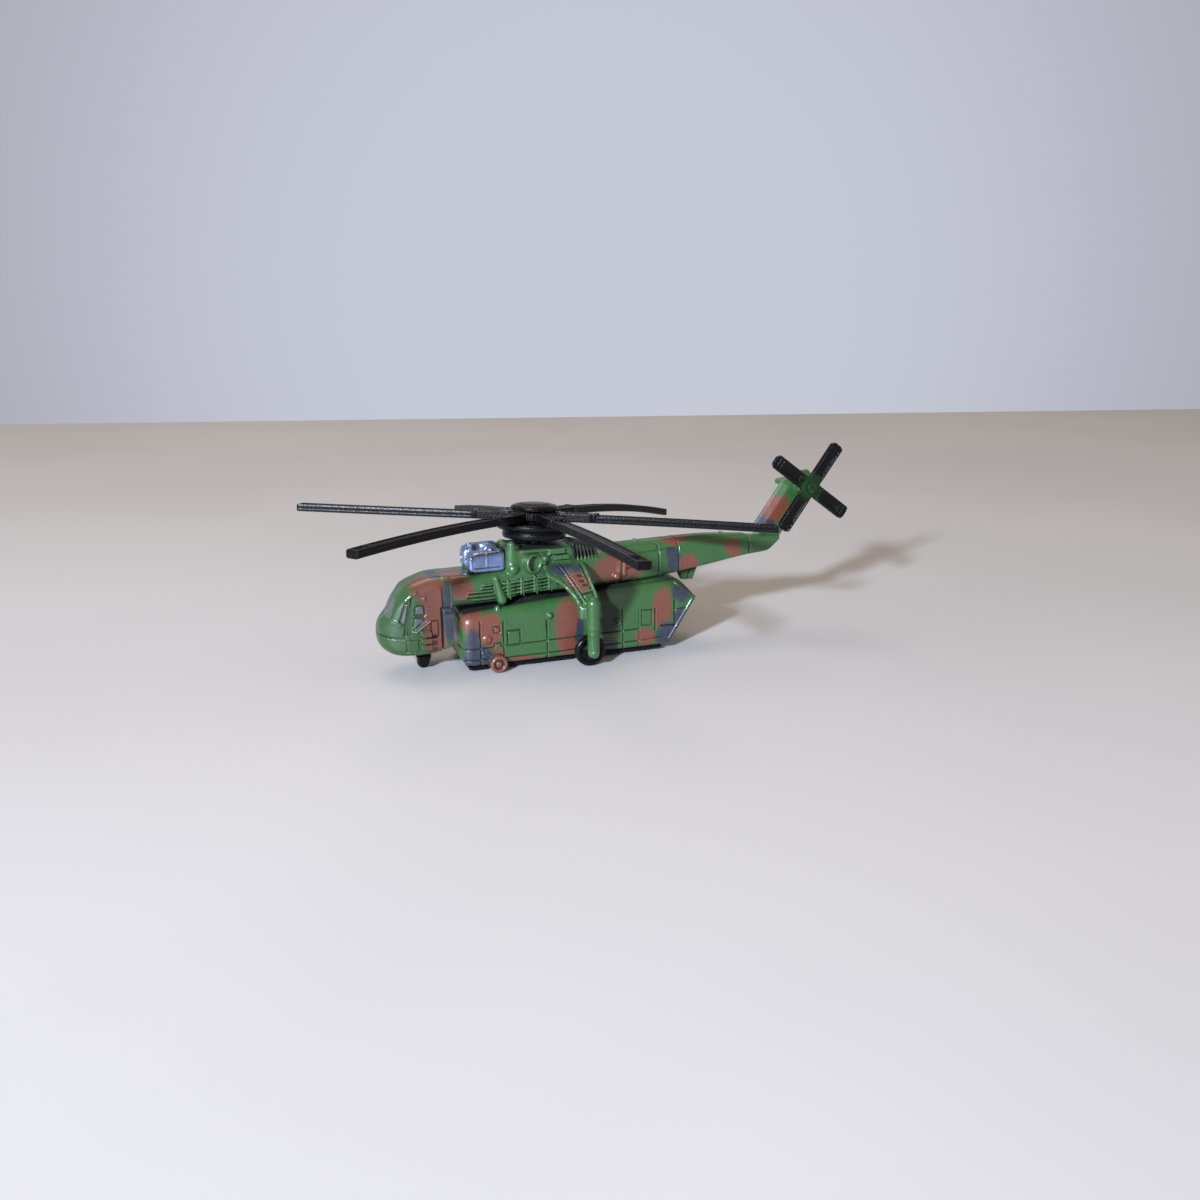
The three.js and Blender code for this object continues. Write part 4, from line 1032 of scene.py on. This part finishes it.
def leg_sculpture():
    s = Sculpt(LEG_LOW, LEG_HIGH, FINE)
    crank = [
        (4.2, 15.15), (5.5, 14.65), (6.9, 13.1), (8.2, 11.1), (9.1, 9.6), (9.45, 8.4), (9.45, 7.65),
        (8.4, 7.65), (7.9, 8.9), (7.0, 10.1), (5.9, 11.5), (5, 12.4), (4.2, 12.7),
    ]
    crank = crank[:1] + rounded_path(crank)[4:24] + crank[6:8] + rounded_path(crank)[32:48] + crank[12:]
    side = [
        (0.15, 15.2), (-6.0, 15.2), (-6.35, 13.4), (-6.8, 11.4), (-7.2, 9.6), (-7.3, 7.6),
        (-3.85, 7.6), (-3.85, 8.6), (-3.85, 9.4), (-3.5, 10.5), (-2.8, 11.6), (-1.6, 12.7), (0.15, 13.6),
    ]
    curved, outline = plate(crank, 0, -8, 1), plate(side, 1, 3, 11)
    s.add(Shape(LEG_LOW, LEG_HIGH, lambda *p: both(curved.distance(*p), outline.distance(*p), 0.3)))
    s.settle()
    rim_front = [(-0.05, 14.0), (-1.6, 13.1), (-2.7, 12.0), (-3.5, 10.9), (-4.0, 9.7)]
    s.rib(rim_front, 0.45, 0.16, blend=0.3)
    groove = [(-2.3, 15.2), (-3.1, 13.9), (-4.1, 12.0), (-5.1, 10.1), (-5.35, 9.4)]
    for shift in (0, 0.62):
        moved = [(x + shift, z) for x, z in groove]
        s.groove(moved, 0.2, 0.22)
    s.rib([(x + 0.31, z) for x, z in groove], 0.3, 0.1, blend=0.15)
    rim_rear = [(-5.75, 15.0), (-6.1, 13.4), (-6.6, 11.3), (-6.95, 9.6), (-7.0, 8.0)]
    s.rib(rim_rear, 0.36, 0.2, blend=0.2)
    s.groove([(x + 0.42, z) for x, z in rim_rear], 0.2, 0.2)
    for x, z in ((-4.6, 13.55), (-4.75, 12.85), (-5.2, 12.3)):
        s.groove([(x, z), (x - 0.5, z - 0.06)], 0.3, 0.2)
    s.groove([(-4.75, 11.1), (-6.25, 11.3)], 0.26, 0.22)
    s.add(bar((-4.55, 9.05, 9.1), (-4.5, 9.1, 7.95), 0.5), blend=0.3)
    x, radius = WHEEL[0], WHEEL[2]
    s.add(bar((x, STRUT_Y, 2.5), (x, STRUT_Y, 6.2), STRUT_RADIUS - 0.07), blend=0.35)
    s.add(bar((x, STRUT_Y, 6.4), (x, STRUT_Y, 9.9), STRUT_RADIUS, STRUT_RADIUS + 0.08), blend=0.35)
    s.add(bar((x - 0.1, STRUT_Y, 9.9), (x, STRUT_Y - 0.2, 10.35), 0.8, 0.6), blend=0.25)
    s.add(ball((x + 0.3, STRUT_Y + 0.52, 5.35), 0.42), blend=0.3)
    boss = [(0, 0), (0.62, 0), (0.5, 0.5), (0, 0.55)]
    s.add(turned(boss, (x, STRUT_Y + 0.45, radius), ALONG_Y), blend=0.15)
    s.cut(block(-9, -2, 6, 8.75, 0, 5.4, 0.1), blend=0.15)
    s.cut(bar((x, 7, radius), (x, 9.9, radius), 0.7))
    return s


def wheel_sculpture(centre, half_width, bore, spokes):
    """A tyre that stands on the ground, with a raised bead, and a hub with a ring of recesses."""
    radius, w = centre[2], half_width
    reach = np.array([radius, w, radius])
    s = Sculpt(centre - reach, centre + reach, FINE)
    outer = [
        (bore, -w + 0.05), (radius * 0.4, -w), (radius * 0.44, -w + 0.22), (radius * 0.66, -w + 0.25),
        (radius * 0.72, -w + 0.02), (radius * 0.88, -w), (radius * 0.97, -w + 0.14), (radius, -w + 0.32),
    ]
    s.add(turned(outer + [(u, -v) for u, v in outer[::-1]], centre, ALONG_Y))
    s.settle()
    for spot in ring(spokes, radius * 0.55):
        for side in (-1, 1):
            out, deep = (centre + spot[[0, 2, 1]] + [0, side * y, 0] for y in (w + 1, w - 0.28))
            s.cut(bar(out, deep, radius * 0.085), blend=0.06)
    s.cut(turned(rectangle(radius - 0.09, radius + 1, -0.07, 0.07), centre, ALONG_Y))
    return s


def axle_sculpture(centre, inner, outer, radius, head):
    """A plain pin with a domed head on its inner end."""
    x, _, z = centre
    s = Sculpt([x - head, min(inner, outer), z - head], [x + head, max(inner, outer), z + head], FINE / 1.5)
    way = 1 if outer > inner else -1
    length = abs(outer - inner)
    shaft = [(0, 0), (radius * 0.98, 0), (radius, 0.1), (radius, length - 0.12), (radius * 0.8, length)]
    shaft.append((0, length))
    s.add(turned(shaft, (x, inner, z), (0, way, 0)))
    if head > radius:
        dome = [(0, 0), (head * 0.45, 0.02), (head * 0.85, 0.16), (head, 0.34), (head, 0.45), (0, 0.45)]
        s.add(turned(dome, (x, inner, z), (0, way, 0)))
    return s


def fork_sculpture():
    low, high = mm_box("nose_gear_fork")
    s = Sculpt(low, high, FINE)
    x = NOSE_GEAR[0]
    side = [(-1.05, 2.7), (1.1, 2.7), (1.05, 1.95), (0.62, 0.55), (-0.6, 0.55), (-1.05, 1.9)]
    s.add(plate([(x + u, z) for u, z in side], 1, low[1], high[1], 0.15))
    s.add(block(x - 1.1, x + 1.15, low[1], high[1], 2.2, 2.75, 0.15))
    s.cut(block(x - 2, x + 2, -0.62, 0.62, -1, 2.15, 0.1))
    s.settle()
    s.groove([(x - 0.95, 2.1), (x + 1.0, 2.1)], 0.14, 0.12, 0.5)
    pin = [(0, 0), (0.34, 0), (0.28, 0.12), (0, 0.14)]
    s.add(turned(pin, (x, high[1] - 0.12, NOSE_GEAR[2]), ALONG_Y), blend=0.05)
    s.add(bar((x, 0, 2.5), (x, 0, high[2] - 0.5), 0.5))
    return s


# ---------- Main rotor ----------

HUB = joint_at("main_rotor_spin")
LEAN = Vector(JOINTS["main_rotor_spin"]["axis"])
LEAN_TURN = (
    Matrix.Rotation(math.atan2(-LEAN.y, LEAN.z), 3, "X") @ Matrix.Rotation(math.asin(LEAN.x), 3, "Y")
)
ROTOR_RADIUS = 36.2
FIRST_BLADE = -25
BLADE_ROOT = -0.5  # height of a blade's middle line at the hub
BLADE_SETS = [(0, -0.1), (0, 2.1), (0, 2), (0, 0.45), (0.6, 1.75), (-0.3, 2.5)]  # bow and droop
CHORD = 2.1


def on_hub(points):
    """From the rotor's own upright place to where it leans on the body."""
    return points @ np.array(LEAN_TURN).T + HUB


def blade_rise(r, bow, droop):
    share = r / ROTOR_RADIUS
    return BLADE_ROOT + bow * 4 * share * (1 - share) - droop * share**2


def blade_sculpture():
    """One blade, drawn straight along x, with its cuff."""
    end = ROTOR_RADIUS
    s = Sculpt([2.2, -1.4, -0.7], [end, 1.4, 1.1], STEP * 0.8)
    half = CHORD / 2
    section = [
        (-half, -0.48), (-half + 0.3, -0.6), (half - 0.3, -0.6), (half, -0.48), (half, 0.38), (-half, 0.38),
    ]
    s.add(plate(section, 0, 2.2, end, 0.12))
    cuff = [(3.0, -1.1), (8.4, -1.35), (9.5, -0.95), (9.5, 0.95), (8.4, 1.35), (3.0, 1.1)]
    s.add(plate(cuff, 2, -0.5, 0.74, 0.12), blend=0.08)
    s.settle()
    for edge in (-1, 1):
        s.emboss(block(9.4, end - 0.1, edge * 0.86 - 0.14, edge * 0.86 + 0.14, 0, 1), height=0.17, blend=0.08)
        s.engrave(block(9.6, end - 0.1, *sorted((edge * 0.9, edge * 1.3)), -0.1, 0.0), depth=0.08)
    s.emboss(block(9.4, end - 0.3, -0.13, 0.13, 0, 1), height=0.09, blend=0.08)
    s.emboss(block(end - 0.42, end - 0.12, -1, 1, 0, 1), height=0.14, blend=0.06)
    for x in (end - 3.3, end - 2.75):
        s.emboss(block(x - 0.12, x + 0.12, -0.95, 0.95, 0, 1), height=0.17, blend=0.06)
    s.engrave(block(end - 2.55, end - 0.7, -0.5, 0.5, 0, 1), depth=0.12)
    s.engrave(block(4.6, 8.6, -0.75, 0.75, 0, 1.5), depth=0.2)
    s.add(block(5.0, 8.3, -0.4, 0.4, 0.4, 0.8, 0.1), blend=0.06)
    s.engrave(block(5.4, 8.0, -0.16, 0.16, 0, 1.5), depth=0.2)
    for x in (3.7, 9.1):
        s.emboss(block(x - 0.16, x + 0.16, -1.2, 1.2, 0, 1.5), height=0.12, blend=0.06)
    for x in np.arange(10.5, end - 4, 3.2):
        s.engrave(block(x - 0.08, x + 0.08, -0.6, 0.6, -1, 0), depth=0.08)
    return s


def hub_sculpture():
    s = Sculpt([-4.4, -4.4, -1.1], [4.4, 4.4, 0.6], FINE)
    disc = [(1.1, -0.95), (3.3, -0.95), (3.5, -0.8), (3.5, 0.2), (3.35, 0.35), (1.1, 0.35)]
    s.add(turned(disc))
    for spot in ring(36, 3.5):
        s.add(bar(spot + [0, 0, -0.7], spot + [0, 0, 0.15], 0.16), blend=0.06)
    return s


def build_rotor_blades():
    blade, hub = blade_sculpture(), hub_sculpture()
    blade_points, blade_faces = blade.skin()
    hub_points, hub_faces = hub.skin()
    all_points, all_faces = [hub_points], [hub_faces]
    for n, (bow, droop) in enumerate(BLADE_SETS):
        points = blade_points.copy()
        points[:, 2] += blade_rise(points[:, 0], bow, droop)
        all_faces.append(blade_faces + sum(map(len, all_points)))
        all_points.append(points @ np.array(Matrix.Rotation(math.radians(FIRST_BLADE + 60 * n), 3, "Z")).T)
    faces = np.concatenate(all_faces)
    mesh = new_mesh("main_rotor_moulding", np.concatenate(all_points), faces)
    relief = [relief_at(hub, hub_points)] + [relief_at(blade, blade_points)] * len(BLADE_SETS)
    note(mesh, "relief", np.concatenate(relief))
    obj = linked("main_rotor_moulding", mesh)
    thinned(obj, faces, MOST_FACES)
    dress(obj, on_hub(mesh_points(finished(obj))), "rotor_assembly", "main_rotor_blades", BLACK)


def cap_sculpture():
    s = Sculpt([-3.7, -3.7, 0.4], [3.7, 3.7, 1.85], FINE)
    dome = [
        (0, 1.64), (1.2, 1.62), (2.3, 1.52), (3.1, 1.32), (3.5, 1.12), (3.62, 0.9), (3.5, 0.52), (2.4, 0.52),
        (2.2, 1.02), (0, 1.15),
    ]
    s.add(turned(dome))
    for spot in ring(36, 3.46):
        s.add(bar(spot + [0, 0, 0.62], spot + [0, 0, 0.85], 0.13), blend=0.05)
    s.settle()
    s.engrave(turned(rectangle(2.35, 2.5, 0, 3)), depth=0.09)
    return s


def collar_sculpture():
    s = Sculpt([-5.7, -5.7, -3.75], [5.7, 5.7, -1.05], FINE * 1.4)
    profile = [
        (1.2, -3.68), (4.3, -3.68), (4.68, -3.55), (4.8, -3.2), (4.78, -2.5), (5.1, -2.32), (5.45, -2.24),
        (5.66, -2.0), (5.68, -1.6), (5.5, -1.36), (5.0, -1.3), (2.6, -1.3), (2.6, -1.12), (1.2, -1.12),
    ]
    s.add(turned(profile))
    s.settle()
    s.engrave(turned(rectangle(4, 6, -2.75, -2.6)), depth=0.12)
    for way in ring(12, 1, start=0.5):
        s.add(bar(way * 5.3 + [0, 0, -1.5], way * 4.2 + [0, 0, -1.45], 0.2), blend=0.1)
    return s


def mast_sculpture():
    s = Sculpt([-1.85, -1.85, -9.25], [1.85, 1.85, 1.0], FINE)
    s.add(turned([(0, -9.2), (0.7, -9.2), (0.88, -8.9), (0.88, 0.6), (0, 0.6)]))
    s.add(turned([(0, 0.5), (1.7, 0.5), (1.8, 0.6), (1.6, 0.95), (0, 0.97)]))
    return s


# ---------- Tail ----------


def on_tail(shape, degrees):
    """A shape turned about the tail rotor's axis."""
    return turned_about(shape, Matrix.Rotation(-math.radians(degrees), 3, "Y"), TAIL_HUB)


def tail_rotor_sculpture():
    low, high = mm_box("tail_rotor")
    s = Sculpt(low, high, STEP * 0.8)
    x, y, z = TAIL_HUB
    radius, half = 8.1, 1.15
    arm = [(0, -half), (radius - 0.55, -half), (radius, -0.6)]
    arm = [(x + u, z + v) for u, v in arm + [(u, -v) for u, v in arm[::-1]]]
    turns = [36 + 90 * n for n in range(4)]
    for turn in turns:
        s.add(on_tail(plate(arm, 1, y - 0.4, y + 0.28, 0.15), turn), blend=0.1)
    boss = [(0, -0.55), (1.35, -0.55), (1.45, -0.4), (1.45, 0.3), (1.2, 0.5), (0, 0.5)]
    s.add(turned(boss, TAIL_HUB, ALONG_Y), blend=0.3)
    s.settle()
    for turn in turns:
        for edge in (-0.9, 0.9):
            rib = block(x + 2.2, x + radius - 0.2, y, y + 1, z + edge - 0.15, z + edge + 0.15, 0)
            s.emboss(on_tail(rib, turn), height=0.16, blend=0.1)
        for out in (6.5, 7.2):
            rib = block(x + out - 0.13, x + out + 0.13, y, y + 1, z - 0.95, z + 0.95, 0)
            s.emboss(on_tail(rib, turn), height=0.12, blend=0.08)
        slot = block(x + 2.6, x + 6.0, y, y + 1, z - 0.5, z + 0.5, 0)
        s.engrave(on_tail(slot, turn), depth=0.1)
    return s


def tail_pin_sculpture():
    low, high = mm_box("tail_rotor_pin")
    s = Sculpt(low, high, FINE)
    x, y, z = TAIL_HUB
    shaft = [(0, low[1]), (0.48, low[1]), (0.5, low[1] + 0.1), (0.5, 4.0), (0, 4.0)]
    s.add(turned(shaft, (x, 0, z), ALONG_Y))
    top = high[1]
    head = [(0, top - 0.5), (0.95, top - 0.5), (0.88, top - 0.3), (0.6, top - 0.18), (0, top - 0.14)]
    s.add(turned(head, (x, 0, z), ALONG_Y))
    s.settle()
    for turn in (36, 126):
        slot = block(x - 0.8, x + 0.8, y, y + 3, z - 0.12, z + 0.12, 0)
        s.engrave(on_tail(slot, turn), depth=0.14)
    return s


def stabiliser_sculpture():
    low, high = mm_box("tail_stabiliser")
    s = Sculpt(low, high, FINE)
    front, back, inner, tip = -42.92, -46.38, -1.22, low[1] + 0.02
    plan = [(front, 23.1), (front - 0.15, 23.85), (-46.2, 24.25), (back, 23.6)]
    outline = [
        (front, inner), (back, inner), (back, tip + 0.4), (-46.0, tip), (-43.7, tip), (-43.1, tip + 0.5),
    ]
    shape, slab = plate(outline, 2, 22, 26, 0.2), plate(plan, 1, low[1], inner, 0.2)
    s.add(Shape(low, high, lambda *p: both(shape.distance(*p), slab.distance(*p), 0.15)))
    s.settle()
    middle = (tip + inner) / 2
    s.engrave(block(-46.2, -43.1, middle - 0.1, middle + 0.1, 23, 26, 0), depth=0.12)
    s.engrave(block(-45.6, -45.4, tip + 0.5, inner - 0.2, 23, 26, 0), depth=0.12)
    s.add(bar((-43.5, -1.6, 23.45), (-43.5, -0.72, 23.45), 0.3))
    return s


def skid_sculpture():
    low, high = mm_box("tail_skid")
    s = Sculpt(low, high, FINE)
    outline = [(-23.3, 11.2), (-23.55, 10.6), (-23.95, 9.75), (-24.7, 9.62), (-26.0, 9.62), (-26.8, 11.65)]
    s.add(bevelled(outline, 0.55, 0.3, 0.8))
    s.settle()
    s.groove([(-25.3, 11.4), (-25.0, 10.0)], 0.2, 0.15, 0.1)
    s.add(bar((-25, 0, 11.2), (-25, 0, 12.4), 0.4))
    return s


# ---------- Engine intakes ----------


def intake_sculpture():
    low, high = mm_box("engine_intake_block")
    s = Sculpt([low[0] - 0.2, low[1], low[2]], [high[0] + 0.2, high[1], high[2] + 0.8], FINE)

    def lobe(side, rise):
        return loft([
            (5.5, 1.1, 14.8, 17.0 + rise, 0.5, 0.5, 0.15),
            (5.7, 1.4, 14.5, 17.3 + rise, 0.6, 0.5, 0.15),
            (6.2, 1.52, 14.4, 17.45 + rise, 0.65, 0.4, 0.2),
            (9.4, 1.52, 14.38, 17.4 + rise, 0.65, 0.4, 0.2),
            (10.4, 1.48, 14.4, 17.2 + rise, 0.7, 0.5, 0.2),
            (10.85, 1.3, 14.55, 16.9 + rise, 0.7, 0.6, 0.15),
            (11.05, 1.0, 14.9, 16.5 + rise, 0.5, 0.5, 0.1),
        ], side * 1.65)

    s.add(lobe(1, 0), lobe(-1, 0.5), blend=0.15)
    s.add(block(6.4, 10.2, -1, 1, 14.8, 16.2, 0.2), blend=0.2)
    s.add(ball((10.0, -1.4, 17.6), 0.5), ball((6.9, -1.2, 17.7), 0.5), ball((7.4, 1.7, 17.2), 0.5), blend=0.4)
    for side in (1, -1):
        s.cut(bar((10.9, side * 1.6, 16.0), (12.0, side * 1.6, 16.0), 0.55), blend=0.2)
    s.cut(ball((8.6, 0.1, 18.0), 1.15), ball((8.4, -1.9, 18.6), 0.9), blend=0.3)
    s.settle()
    s.engrave(block(10.28, 10.44, -4, 4, 14, 18.5, 0), depth=0.1)
    s.groove([(6.3, 15.15), (10.3, 15.1)], 0.14, 0.1, 1.0)
    s.rib([(8.3, 15.4), (8.3, 17.0)], 0.2, 0.06, 1.0, blend=0.2)
    s.add(bar((8.4, 0, 13.8), (8.4, 0, 15.2), 0.7))
    return s


# ---------- Stage ----------


def build_stage():
    """A pale table top with soft light from above, and a camera low at the left side of the nose."""
    camera = linked("camera", bpy.data.cameras.new("camera"))
    camera.data.lens, camera.data.sensor_width = 33.0, 36.0
    camera.data.clip_start, camera.data.clip_end = 0.01, 20
    rotor = Vector(JOINTS["main_rotor_spin"]["pos_m"])
    camera.location = rotor + Vector((0.046005, 0.155612, 0.031361))
    look = Vector((-0.3280, -0.9061, -0.2672))
    camera.rotation_euler = look.to_track_quat("-Z", "Y").to_euler()
    camera.rotation_euler.rotate_axis("Z", math.radians(-0.38))
    bpy.context.scene.camera = camera

    half, near, far, askew = 0.6, 0.6, 0.34, 0.035
    corners = [(-half, -near, 0), (half, -near, 0), (half, far + askew, 0), (-half, far - askew, 0)]
    mesh = bpy.data.meshes.new("table_top")
    mesh.from_pydata(corners, [], [(0, 1, 2, 3)])
    floor = linked("table_top", mesh)
    floor.rotation_euler.z = math.atan2(look.y, look.x) - math.pi / 2
    nodes = Nodes(bpy.data.materials.new("pale_table"))
    here = nodes.new("ShaderNodeTexCoord").outputs["Object"]
    cloud = nodes.noise(here, 9.0, 3.0)["Fac"]
    colour = nodes.mix(nodes.ramp(cloud, 0.35, 0.65), (0.50, 0.495, 0.50), (0.53, 0.525, 0.53))
    mesh.materials.append(nodes.finish(Base_Color=colour, Roughness=0.55))

    lamps = [  # name, place, width, power and colour
        ("key", (0.37, 0.37, 0.233), 0.045, 6.2, (0.78, 0.86, 1.0)),
        ("ceiling", (0.10, -0.36, 0.80), 0.5, 2.2, (1.0, 0.84, 0.68)),
    ]
    for name, place, size, power, colour in lamps:
        light = bpy.data.lights.new(name, "AREA")
        light.shape, light.size, light.energy, light.color = "DISK", size, power, colour
        lamp = linked(name, light)
        lamp.location = place
        lamp.rotation_euler = (-Vector(place)).to_track_quat("-Z", "Y").to_euler()
    build_room(look)
    bpy.context.scene.view_settings.view_transform = "Standard"


def build_room(look):
    """A pale lilac wall at eye level, brightest behind the toy, under a warm and dimmer ceiling."""
    world = bpy.data.worlds.new("room")
    bpy.context.scene.world = world
    nodes = Nodes(world)
    way = nodes.new("ShaderNodeTexCoord").outputs["Generated"]
    ahead = nodes.vector("DOT_PRODUCT", way, tuple(Vector((look.x, look.y, 0)).normalized()))
    wall = nodes.mix(nodes.ramp(ahead, 0.84, 1.0), (0.40, 0.41, 0.475), (0.565, 0.585, 0.675))
    height = nodes.new("ShaderNodeSeparateXYZ", Vector=way).outputs["Z"]
    colour = nodes.mix(nodes.ramp(height, 0.26, 0.5), wall, (0.35, 0.29, 0.23))
    nodes.feed(nodes.tree.nodes["Background"].inputs["Color"], colour)


# ---------- Everything together ----------

# A finish is a material slot of the record and the material that the piece shows.
PAINT = "camouflage_paint", painted("camouflage_enamel")
BLACK = "black_plastic", black_plastic("satin_black")
overspray = tuple(TAIL_HUB + [0, 0.3, 0])
SPRAYED_BLACK = "black_plastic", black_plastic("satin_black_oversprayed", green_hub=overspray)
TAIL_PIN = "camouflage_paint", SPRAYED_BLACK[1]
WHEELS = "black_wheel", black_plastic("gloss_black", rough=(0.16, 0.32))
FORK = "black_plastic", WHEELS[1]
STEEL = "steel_pin", steel("turned_steel", (0.5, 0.5, 0.48), (0.34, 0.33, 0.31))
# The mast's steel is painted near black, as painted shade for the shadow under the rotor's drum.
SHADE_DARKENED_STEEL = "steel_pin", steel("shade_darkened_steel", (0.03, 0.03, 0.034), (0.015, 0.015, 0.017))
SILVER = "silver_coating", metal_coating("blued_silver")

build_stage()
build_body()
piece("cargo_pod_moulding", pod_sculpture(), "cargo_pod", "pod_shell", PAINT)
piece("cargo_pod_base", pod_base_sculpture(), "cargo_pod", "pod_base_plate", BLACK, 30_000)
leg = leg_sculpture()
for side, label in ((1, "left"), (-1, "right")):
    centre = joint_at(f"main_wheel_{label}_roll")
    tyre = wheel_sculpture(centre, half_width=0.6, bore=0.75, spokes=6)
    pin = axle_sculpture(centre, side * 6.8, side * 9.9, 0.45, 1.0)
    node = f"gear_leg_{label}"
    piece(node + "_moulding", leg, "airframe", node, PAINT, 60_000, turn_over=side < 0)
    node = f"main_wheel_{label}"
    piece(node + "_tyre", tyre, f"{label}_wheel", node, WHEELS, 30_000)
    node = f"main_axle_{label}"
    piece(node + "_pin", pin, "airframe", node, STEEL, 8_000)
piece("nose_fork_moulding", fork_sculpture(), "airframe", "nose_gear_fork", FORK, 20_000)
tyre = wheel_sculpture(NOSE_GEAR, half_width=0.5, bore=0.35, spokes=5)
piece("nose_wheel_tyre", tyre, "front_wheel", "nose_wheel", WHEELS, 16_000)
pin = axle_sculpture(NOSE_GEAR, -1.07, 1.07, 0.22, 0.22)
piece("nose_axle_pin", pin, "airframe", "nose_axle", STEEL, 4_000)
build_rotor_blades()
piece("rotor_cap_dome", cap_sculpture(), "rotor_assembly", "rotor_cap", BLACK, 30_000, on_hub)
piece("rotor_collar_drum", collar_sculpture(), "rotor_assembly", "rotor_collar", BLACK, 40_000, on_hub)
piece("rotor_mast_pin", mast_sculpture(), "rotor_assembly", "rotor_mast", SHADE_DARKENED_STEEL, 16_000, on_hub)
tail = tail_rotor_sculpture()
piece("tail_rotor_moulding", tail, "tail_rotor_assembly", "tail_rotor", SPRAYED_BLACK, 70_000)
piece("tail_pin_head", tail_pin_sculpture(), "airframe", "tail_rotor_pin", TAIL_PIN, 10_000)
piece("stabiliser_moulding", stabiliser_sculpture(), "airframe", "tail_stabiliser", PAINT, 20_000)
piece("skid_moulding", skid_sculpture(), "airframe", "tail_skid", PAINT, 10_000)
piece("intake_block_coated", intake_sculpture(), "airframe", "engine_intake_block", SILVER, 40_000)
